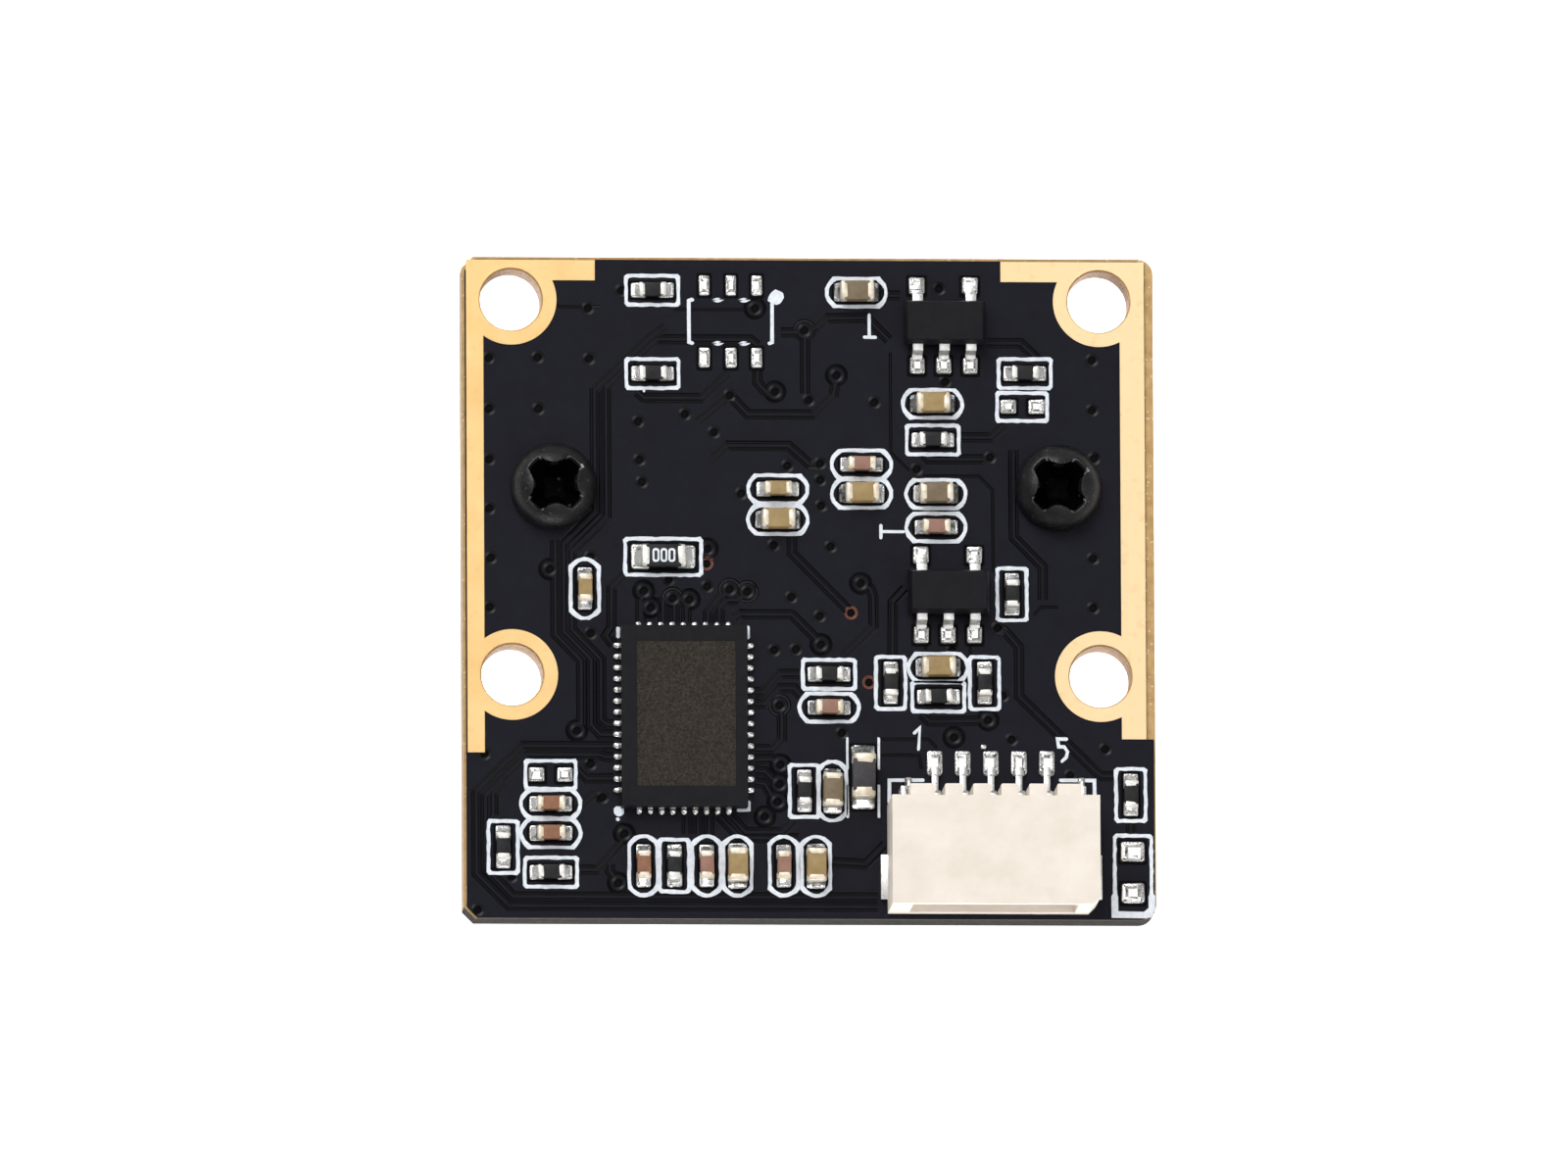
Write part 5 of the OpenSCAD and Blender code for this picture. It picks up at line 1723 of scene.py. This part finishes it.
class SolderPot:
    """Builds lands, fillets and blobs of solder, and joins them into one piece."""

    def __init__(self, plan: BoardPlan) -> None:
        """Models the masters: a flat puddle, a climbing fillet and a ball.

        Args:
            plan: The board.
        """
        self.top = plan.top
        self.draw = random.Random(5)
        self.drops: list[bpy.types.Object] = []
        self.puddle = block("puddle_model", (0, 0, 0.5), (1, 1, 1))
        shift_points(self.puddle,
                     lambda spot: Vector((spot.x * (1 - 0.1 * spot.z), spot.y * (1 - 0.1 * spot.z), spot.z)))
        work(self.puddle, "BEVEL", width=0.13 * MM, segments=3, limit_method="NONE")
        select_faces(self.puddle, lambda spot, normal: normal.z > 0.9)
        bpy.ops.mesh.inset(thickness=0.2 * MM)
        bpy.ops.transform.translate(value=(0, 0, 0.16 * MM))
        close_edit()
        self.fillet = block("fillet_model", (0.5, 0, 0.5), (1, 1, 1))
        edit_all(self.fillet)
        bpy.ops.mesh.subdivide(number_cuts=3)
        close_edit()
        shift_points(self.fillet, lambda spot: Vector((
            spot.x, spot.y * (1 - 0.12 * spot.x),
            spot.z * (1 - 0.9 * spot.x ** 0.8) * (1 - 1.1 * spot.y ** 2))))
        self.ball = block("ball_model", (0, 0, 0.4), (1, 1, 1))
        work(self.ball, "BEVEL", width=0.4 * MM, segments=4, limit_method="NONE")
        for model in (self.puddle, self.fillet, self.ball):
            smooth(model, 70)

    def pour(self, x: float, y: float, length: float, width: float, height: float, turn: float = 0) -> None:
        """Adds a puddle.

        Args:
            x: Middle along X.
            y: Middle along Y.
            length: Its length.
            width: Its width.
            height: Its height.
            turn: Turn about Z, in degrees.
        """
        drop = cast(self.puddle, "drop", (x, y, self.top - 0.004), turn, (length, width, height))
        relief_noise(drop, min(0.035, 0.07 * width), 0.4, self.draw.randrange(9999))
        self.drops.append(drop)

    def bead(self, x: float, y: float, length: float, width: float, height: float, turn: float = 0) -> None:
        """Adds a round bead that catches the light.

        Args:
            x: Middle along X.
            y: Middle along Y.
            length: Its length.
            width: Its width.
            height: Its height.
            turn: Turn about Z, in degrees.
        """
        drop = cast(self.ball, "drop", (x, y, self.top - 0.004), turn, (length, width, height))
        relief_noise(drop, 0.02, 0.3, self.draw.randrange(9999))
        self.drops.append(drop)

    def climb(self, x: float, y: float, length: float, width: float, height: float, turn: float) -> None:
        """Adds a fillet that starts tall and runs out along its turn.

        Args:
            x: Its tall end along X.
            y: Its tall end along Y.
            length: Its length.
            width: Its width.
            height: Height of its tall end.
            turn: Turn about Z, in degrees.
        """
        drop = cast(self.fillet, "drop", (x, y, self.top - 0.002), turn, (length, width, height))
        relief_noise(drop, 0.014, 0.35, self.draw.randrange(9999))
        self.drops.append(drop)

    def chip(self, part: ChipPart) -> None:
        """Solders both ends of a chip part.

        Args:
            part: The chip part.
        """
        x, y, _, turn = part.place
        size = SIZES[part.kind]
        for side in (0, 180):
            along = Vector((math.cos(math.radians(turn + side)), math.sin(math.radians(turn + side))))
            land = size.land_end - (0.2 if size.length < 1.5 else 0.45)
            middle = Vector((x, y)) + along * (size.land_end - land / 2)
            self.pour(*middle, land, size.land_width * self.draw.uniform(0.97, 1.05), 0.07, turn + side)
            start = Vector((x, y)) + along * (size.length / 2 - 0.04)
            reach = size.land_end - size.length / 2 + 0.02
            self.climb(*start, reach, size.width * self.draw.uniform(0.9, 1.02),
                       size.height * self.draw.uniform(0.5, 0.75), turn + side)

    def finish(self) -> None:
        """Joins all drops into the solder and paints shade on its steeper faces."""
        solder = weld("solder_joints", self.drops)
        paint(solder, SOLDER, SOLDER_SLOPE_PAINTED_SHADE)
        # Painted shade: faces steeper than about 52 degrees take the dark grey finish.
        for face in solder.data.polygons:
            face.material_index = int(face.normal.z < 0.62)
        deliver(solder, None, ["solder_joints"])
        for model in (self.puddle, self.fillet, self.ball):
            bpy.data.objects.remove(model)


# ------------------------------------------------------------------ dressed nodes


@dataclass(frozen=True)
class Dressed:
    """A node that keeps its solid form, with rounded edges and a finish."""

    node: str
    finish: Finish | ClearFinish
    slot: str
    rounding: float
    steps: int = 2

    def build(self) -> bpy.types.Object:
        """Builds the piece.

        Returns:
            The dressed piece.
        """
        piece = from_node(self.node, self.node)
        soften(piece, self.rounding, self.steps)
        deliver(piece, self.finish, [self.node])
        return piece


DRESSED = [
    Dressed("connector_pins", LEAD, "lead_metal", 0.02),
    Dressed("connector_tabs", LEAD, "lead_metal", 0.02),
    Dressed("regulator_upper", MOULDING, "chip_plastic", 0.03),
    Dressed("regulator_lower", MOULDING, "chip_plastic", 0.03),
    Dressed("regulator_leads", LEAD, "lead_metal", 0.02),
    Dressed("controller_leads", LEAD, "lead_metal", 0.02, 1),
    Dressed("lens_holder", HOLDER, "black_plastic", 0.12, 3),
    Dressed("lens_barrel", BARREL, "black_metal", 0.06, 2),
    Dressed("retaining_ring", BARREL, "black_metal", 0.05, 2),
    Dressed("element_spacer", BARREL, "black_metal", 0.04, 1),
    Dressed("aperture_stop", BARREL, "black_metal", 0.03, 1),
    Dressed("front_element", LENS_GLASS, "lens_glass", 0.05, 2),
    Dressed("middle_element", LENS_GLASS, "lens_glass", 0.04, 1),
    Dressed("rear_element", LENS_GLASS, "lens_glass", 0.04, 1),
    Dressed("ir_filter", FILTER_GLASS, "filter_glass", 0.04, 1),
    Dressed("image_sensor", PACKAGE, "sensor_package", 0.05, 1),
    Dressed("sensor_die", SILICON, "silicon", 0.01, 1),
    Dressed("sensor_cover_glass", COVER_GLASS, "cover_glass", 0.02, 1),
]


def lathe(name: str, profile: Sequence[Spot], sides: int) -> bpy.types.Object:
    """Spins a profile of radius and height round Z.

    Args:
        name: Name of the piece.
        profile: Radius and height of each point, from pole to pole.
        sides: Steps of the spin.

    Returns:
        The closed solid.
    """
    piece = assemble(name, [(r * MM, 0, z * MM) for r, z in profile],
                     [(k, k + 1) for k in range(len(profile) - 1)], [])
    edit_all(piece)
    bpy.ops.mesh.spin(steps=sides, angle=math.tau, center=(0, 0, 0), axis=(0, 0, 1))
    bpy.ops.mesh.select_all(action="SELECT")
    bpy.ops.mesh.remove_doubles(threshold=0.0005 * MM)
    bpy.ops.mesh.normals_make_consistent(inside=False)
    close_edit()
    return piece


class Controller:
    """The controller's moulding, with a laser-worn field."""

    def build(self) -> None:
        """Builds the body and marks the floor of its field."""
        piece = from_node("controller_chip", "controller_chip")
        soften(piece, 0.03, 2)
        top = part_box("controller_chip")[1].z / MM
        paint(piece, MOULDING, MARK_FIELD)
        for face in piece.data.polygons:
            spot = face.center / MM
            if face.normal.z > 0.9 and top - 0.05 < spot.z < top - 0.02:
                face.material_index = 1
        deliver(piece, None, ["controller_chip"])



@dataclass(frozen=True)
class LensScrews:
    """The two pan-head screws that hold the lens holder from this side."""

    plan: BoardPlan
    head_r: float = 1.53
    head_h: float = 1.2
    rim_h: float = 0.42
    thread_r: float = 0.8
    arm_tip: float = 1.14
    arm_half: float = 0.31
    lobe: float = 0.75
    depth: float = 0.95
    turns: tuple[float, float] = (-1, -5)

    def recess(self) -> bpy.types.Object:
        """Makes the tapered cross that the driver fits, with lobes between its arms.

        Returns:
            The cutter, upright at the origin.
        """
        outline = []
        for quarter in range(4):
            turn = Matrix.Rotation(math.radians(90 * quarter), 2)
            tip, half = self.arm_tip, self.arm_half
            leg = 0.7071
            for along, across in ((tip - 0.06, half), (tip, half * 0.6), (tip, -half * 0.6),
                                  (tip - 0.06, -half)):
                outline.append(turn @ Vector((leg * (along + across), leg * (along - across))))
            for spot in ((0.95, -0.46), (0.83, -0.32), (self.lobe + 0.02, -0.15), (self.lobe, 0),
                         (self.lobe + 0.02, 0.15),
                         (0.83, 0.32), (0.95, 0.46)):
                outline.append(turn @ Matrix.Rotation(math.radians(-90), 2) @ Vector((spot[0], -spot[1])))
        outline.sort(key=lambda spot: math.atan2(spot.y, spot.x))
        count = len(outline)
        levels = ((0.25, 1.05), (0.0, 1.0), (-0.18, 0.9), (-self.depth, 0.42))
        points = [(spot.x * size * MM, spot.y * size * MM, z * MM) for z, size in levels for spot in outline]
        faces = [tuple(range(count)), tuple(reversed(range(3 * count, 4 * count)))]
        for row in range(3):
            for k in range(count):
                after = (k + 1) % count
                faces.append((row * count + after, row * count + k, (row + 1) * count + k,
                              (row + 1) * count + after))
        return face_outwards(assemble("recess", points, [], faces))

    def build(self) -> None:
        """Builds one screw and sets its copy beside it."""
        top, rim, r = self.head_h, self.rim_h, self.head_r
        dome = [(0, top), (0.4, top - 0.005), (0.75, top - 0.04), (1.0, top - 0.11), (1.2, top - 0.22),
                (1.36, top - 0.38),
                (1.48, top - 0.57), (r, rim)]
        stem = [(r, 0.03), (r - 0.04, 0), (self.thread_r, 0)]
        thread = []
        for turn in range(14):
            base = -0.15 - 0.4 * turn
            thread += [(self.thread_r * 0.78, base), (self.thread_r * 0.78, base - 0.15),
                       (self.thread_r, base - 0.27)]
        screw = lathe("lens_screw", dome + stem + thread + [(0.45, -5.8), (0, -5.8)], 48)
        recess = self.recess()
        carve(screw, cast(recess, "recess", (0, 0, self.head_h - 0.14), 3))
        bpy.data.objects.remove(recess)
        soften(screw, 0.035, 2, 32)
        relief_noise(screw, 0.012, 0.8, 4)
        pair = [cast(screw, "screw", (x, y, self.plan.top + 0.001), turn)
                for (x, y), turn in zip(self.plan.screws, self.turns)]
        bpy.data.objects.remove(screw)
        piece = weld("lens_screws", pair)
        paint(piece, SCREW_BLACK, SCREW_PIT_PAINTED_SHADE_AND_GLINTS, WORN_EDGE_AND_PAINTED_HIGHLIGHT)
        for face in piece.data.polygons:
            spot = face.center / MM
            near = min((Vector(screw) - spot.xy).length for screw in self.plan.screws)
            if near < 1.2 and spot.z > self.plan.top:
                # Painted shade: the recess walls and the lower band of the dome take the near-black pit
                # finish.
                if spot.z < self.plan.top + self.head_h - 0.36 or face.normal.z < 0.35:
                    face.material_index = 1
                # Wear and painted highlight: small sloped bevel faces round the recess take the bright edge
                # finish.
                elif face.area < 0.02 * MM ** 2 and 0.35 < face.normal.z < 0.86:
                    face.material_index = 2
        deliver(piece, None, ["lens_screws"])


@dataclass(frozen=True)
class BarrelThread:
    """The fine thread on the stretch of the barrel between its head and the holder."""

    head_h: float = 6.0
    root_r: float = 5.93
    crest_r: float = 6.0
    bore_r: float = 5.75
    pitch: float = 0.5

    def build(self) -> None:
        """Turns the ridges and opens them for the barrel."""
        low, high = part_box("lens_barrel")[0] / MM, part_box("lens_holder")[0] / MM
        x, y = (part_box("lens_barrel")[0].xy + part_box("lens_barrel")[1].xy) / 2 / MM
        start, end = low.z + self.head_h - 0.02, high.z + 0.02
        turns = int((end - start) / self.pitch)
        step = (end - start) / turns
        profile = [(0, start)]
        for turn in range(turns):
            base = start + turn * step
            profile += [(self.root_r, base), (self.crest_r, base + 0.35 * step),
                        (self.crest_r, base + 0.5 * step),
                        (self.root_r, base + 0.85 * step)]
        profile += [(self.root_r, end), (0, end)]
        ridges = lathe("barrel_thread", profile, 96)
        carve(ridges, drum("bore", (0, 0, (start + end) / 2), self.bore_r, 2 * (end - start), 96))
        ridges.data.transform(Matrix.Translation(Vector((x, y, 0)) * MM))
        smooth(ridges, 30)
        deliver(ridges, BARREL)


@dataclass(frozen=True)
class ConnectorHousing:
    """The ivory housing of the side-entry connector: mouth, notched rear wall and side shoulders."""

    pitch: float = 1.0
    ways: int = 5
    side_wall: float = 0.75
    floor: float = 0.5
    mouth_h: float = 1.9
    mouth_d: float = 3.1
    tongue: float = 0.4

    def build(self) -> None:
        """Cuts the housing from one block and rounds its edges."""
        low, high = (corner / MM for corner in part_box("connector_housing"))
        middle = (low.x + high.x) / 2
        rear = high.y - self.tongue
        half = (high.x - low.x) / 2
        tall = high.z - low.z
        body = block("connector_housing", (middle, (low.y + rear) / 2, low.z + tall / 2),
                     (2 * half, rear - low.y, tall))
        inner = half - self.side_wall
        reach = inner + 0.1
        tongue = block("tongue", (middle, rear, low.z + tall / 2), (2 * reach, 2 * self.tongue, tall - 0.02))
        carve(body, tongue, "UNION")
        mouth = block("mouth",
                      (middle, low.y + self.mouth_d / 2 - 0.5, low.z + self.floor + self.mouth_h / 2),
                      (2 * inner, self.mouth_d + 1, self.mouth_h))
        carve(body, mouth)
        lead_in = block("lead_in", (middle, low.y, low.z + self.floor + self.mouth_h), (2 * inner, 0.3, 0.3))
        hold(lead_in)
        bpy.ops.transform.rotate(value=math.radians(45), orient_axis="X",
                                 center_override=Vector((middle, low.y,
                                                         low.z + self.floor + self.mouth_h)) * MM)
        settle(lead_in, "lead_in")
        carve(body, lead_in)
        carve(body, drum("nick", (high.x, low.y, low.z + tall / 2), 0.24, 5, 4))
        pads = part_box("connector_pins")
        first = (pads[0].x + pads[1].x) / 2 / MM - self.pitch * (self.ways - 1) / 2
        for way in range(self.ways):
            x = first + way * self.pitch
            carve(body, self.notch(x, rear, low.z, tall))
        soften(body, 0.045, 3, 40)
        relief_noise(body, 0.006, 1.2, 8)
        shift_points(body, lambda spot: Vector((spot.x, spot.y, min(spot.z, high.z))))
        paint(body, IVORY, IVORY_PAINTED_LIGHT)
        # Painted light: the floor inside the mouth takes the paler ivory.
        for face in body.data.polygons:
            inside = face.normal.z > 0.9 and face.center.z / MM < low.z + self.floor + 0.1
            face.material_index = int(inside and face.center.y / MM < rear - 0.5)
        deliver(body, None, ["connector_housing"])

    def notch(self, x: float, rear: float, low: float, tall: float) -> bpy.types.Object:
        """Makes the flared cutter of the notch over one contact.

        Args:
            x: Middle of the contact along X.
            rear: Rear face of the housing beside the notches.
            low: Lower face of the housing.
            tall: Height of the housing.

        Returns:
            The cutter.
        """
        cutter = block("notch", (x, rear + 0.3, low + tall / 2), (0.36, 0.64, tall + 1))
        flare = block("flare", (0, 0, 0), (0.34, 0.34, tall + 1))
        carve(cutter, cast(flare, "flare", (x, rear + self.tongue + 0.02, low + tall / 2), 45), "UNION")
        bpy.data.objects.remove(flare)
        return cutter


LEAD_PITCH = 0.4
LEADS_LONG = 14
LEADS_SHORT = 9
FOOT_PITCH = 0.95
CONTACTS = 5
FIRST_CONTACT_X = 4.455
CONTACT_PITCH = 1


class Extras:
    """Print and solder of the empty places, the controller, the regulators and the connector."""

    def __init__(self, pen: SilkPen, pot: SolderPot, clearings: Clearings) -> None:
        """Keeps the pen, the pot and the openings.

        Args:
            pen: The pen of the print.
            pot: The solder.
            clearings: The openings of the mask.
        """
        self.pen = pen
        self.pot = pot
        self.clearings = clearings

    def land(self, x: float, y: float, length: float, width: float, height: float, turn: float = 0) -> None:
        """Adds a tinned land in its opening.

        Args:
            x: Middle along X.
            y: Middle along Y.
            length: Its length.
            width: Its width.
            height: Its height.
            turn: Turn about Z, in degrees.
        """
        self.pot.pour(x, y, length, width, height, turn)
        self.clearings.open(x, y, length + 0.16, width + 0.16, turn)

    def six_lead_place(self) -> None:
        """Prints and tins the empty place for a six-lead part."""
        pen = self.pen
        for x, inward in ((-4.24, 0.12), (-1.27, -0.1)):
            pen.stroke([(x + inward, 10.37), (x, 10.33), (x, 8.84), (x + inward, 8.8)])
        for x in (-3.22, -2.28):
            for y in (10.36, 8.8):
                pen.leaf(x, y, 0.2, 0.08)
        pen.dot(-1.12, 10.46, 0.27)
        pen.dot(-5.86, 7.07, 0.05)
        for x in (-3.69, -2.74, -1.82):
            self.land(x, 10.88, 0.76, 0.4, 0.09, 90)
            self.land(x - 0.01, 8.27, 0.76, 0.42, 0.11, 90)

    def empty_places(self) -> None:
        """Prints and tins the two empty places for a chip part."""
        for x, y in ((7.65, 6.55), (-9.25, -6.75)):
            self.pen.frame(x, y, 0, 1.92, 1.14, 0.08)
            for side in (-1, 1):
                self.land(x + side * 0.5, y, 0.6, 0.54, 0.13)

    def diode_place(self) -> None:
        """Prints and tins the empty place for a diode, heavy at its marked end."""
        pen = self.pen
        pen.frame(11.52, -10.3, 90, 3.0, 1.44, 0.1)
        pen.stroke([(10.86, -11.05), (10.86, -11.7), (11.95, -11.72), (12.18, -11.5), (12.18, -11.05)], 0.24)
        for y, along, across in ((-9.45, 0.76, 0.89), (-10.94, 0.76, 0.86)):
            self.land(11.5, y, across, along, 0.16)

    def controller(self) -> None:
        """Prints the corner marks and solders the leads of the controller."""
        pen = self.pen
        low, high = (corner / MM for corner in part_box("controller_chip"))
        pen.stroke([(low.x - 0.07, high.y - 0.03), (low.x - 0.07, high.y - 0.32)])
        pen.stroke([(high.x + 0.07, high.y + 0.02), (high.x + 0.07, high.y - 0.34)])
        pen.stroke([(high.x + 0.06, low.y + 0.24), (high.x + 0.06, low.y - 0.02),
                    (high.x - 0.3, low.y - 0.05)])
        pen.dot(low.x - 0.07, low.y - 0.1, 0.19)
        pen.dot(low.x - 0.11, low.y - 0.39, 0.07)
        x, y = (low.x + high.x) / 2, (low.y + high.y) / 2
        for side, edge in ((0, high.x), (180, low.x)):
            for step in range(LEADS_LONG):
                row = y + (step - (LEADS_LONG - 1) / 2) * LEAD_PITCH
                self.pot.bead(edge + (0.1 if side == 0 else -0.1), row, 0.34, 0.22, 0.2)
        for edge, out in ((high.y, 0.06), (low.y, -0.08)):
            for step in range(LEADS_SHORT):
                column = x + (step - (LEADS_SHORT - 1) / 2) * LEAD_PITCH
                self.pot.bead(column, edge + out, 0.3, 0.22, 0.2, 90)

    def regulators(self) -> None:
        """Solders the feet of both regulators."""
        for node in ("regulator_upper", "regulator_lower"):
            low, high = (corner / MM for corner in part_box(node))
            x, y = (low.x + high.x) / 2, (low.y + high.y) / 2
            for step in (-FOOT_PITCH, FOOT_PITCH):
                self.land(x + step, y + 1.39, 0.64, 0.6, 0.16, 90)
            for step in (-FOOT_PITCH, 0, FOOT_PITCH):
                self.land(x + step, y - 1.48, 0.64, 0.56, 0.18, 90)

    def connector(self) -> None:
        """Prints the brackets and numerals of the connector and solders its feet."""
        pen = self.pen
        pen.stroke([(4.03, -6.9), (2.83, -6.9), (2.83, -7.7)])
        pen.stroke([(8.95, -6.88), (10.15, -6.88), (10.17, -7.7)])
        pen.stroke([(3.74, -5.2), (3.93, -5.02), (3.88, -5.78)], 0.12)
        pen.stroke([(9.17, -5.4), (8.85, -5.4), (8.88, -5.68), (9.08, -5.68), (9.2, -5.85), (9.15, -6.05),
                    (9.0, -6.2)], 0.12)
        for way in range(CONTACTS):
            x = FIRST_CONTACT_X + way * CONTACT_PITCH
            self.pot.pour(x, -6.28, 0.92, 0.6, 0.1, 90)
            self.pot.climb(x, -6.75, 0.5, 0.42, 0.28, 90)
        for x in (2.66, 10.24):
            self.pot.pour(x, -10.4, 1.55, 0.36, 0.2, 90)
        for x in (3.5, 9.68):
            self.pot.pour(x, -7.05, 0.5, 0.24, 0.3, 90)
        self.pot.bead(6.2, -5.69, 0.2, 0.16, 0.1)

    def marks(self) -> None:
        """Prints the small pointers."""
        pen = self.pen
        pen.stroke([(2.2, 9.84), (2.2, 9.08)], 0.12)
        pen.stroke([(2.03, 9.04), (2.42, 9.04)], 0.13)
        pen.stroke([(2.58, 2.26), (2.58, 1.83)], 0.13)
        pen.stroke([(2.62, 2.04), (3.38, 2.04)], 0.12)

    def build(self) -> None:
        """Adds everything."""
        self.six_lead_place()
        self.empty_places()
        self.diode_place()
        self.controller()
        self.regulators()
        self.connector()
        self.marks()


def main() -> None:
    """Builds the scene piece by piece."""
    logging.basicConfig(level=logging.INFO, format="%(name)s: %(message)s")
    plan = board_plan()
    Studio().build(plan.top)
    Board(plan).build()
    EdgeGold(plan).build()
    pen = SilkPen(plan)
    pot = SolderPot(plan)
    clearings = Clearings(plan, pen)
    maker = ChipMaker(pen)
    for part in chip_parts():
        maker.build(part)
        pot.chip(part)
        clearings.chip(part)
        pen.outline(part)
    maker.close()
    Controller().build()
    ConnectorHousing().build()
    LensScrews(plan).build()
    for dressed in DRESSED:
        dressed.build()
    BarrelThread().build()
    Extras(pen, pot, clearings).build()
    clearings.finish()
    pen.finish()
    pot.finish()
    bpy.context.scene.view_settings.view_transform = "Standard"


if __name__ == "__main__":
    main()
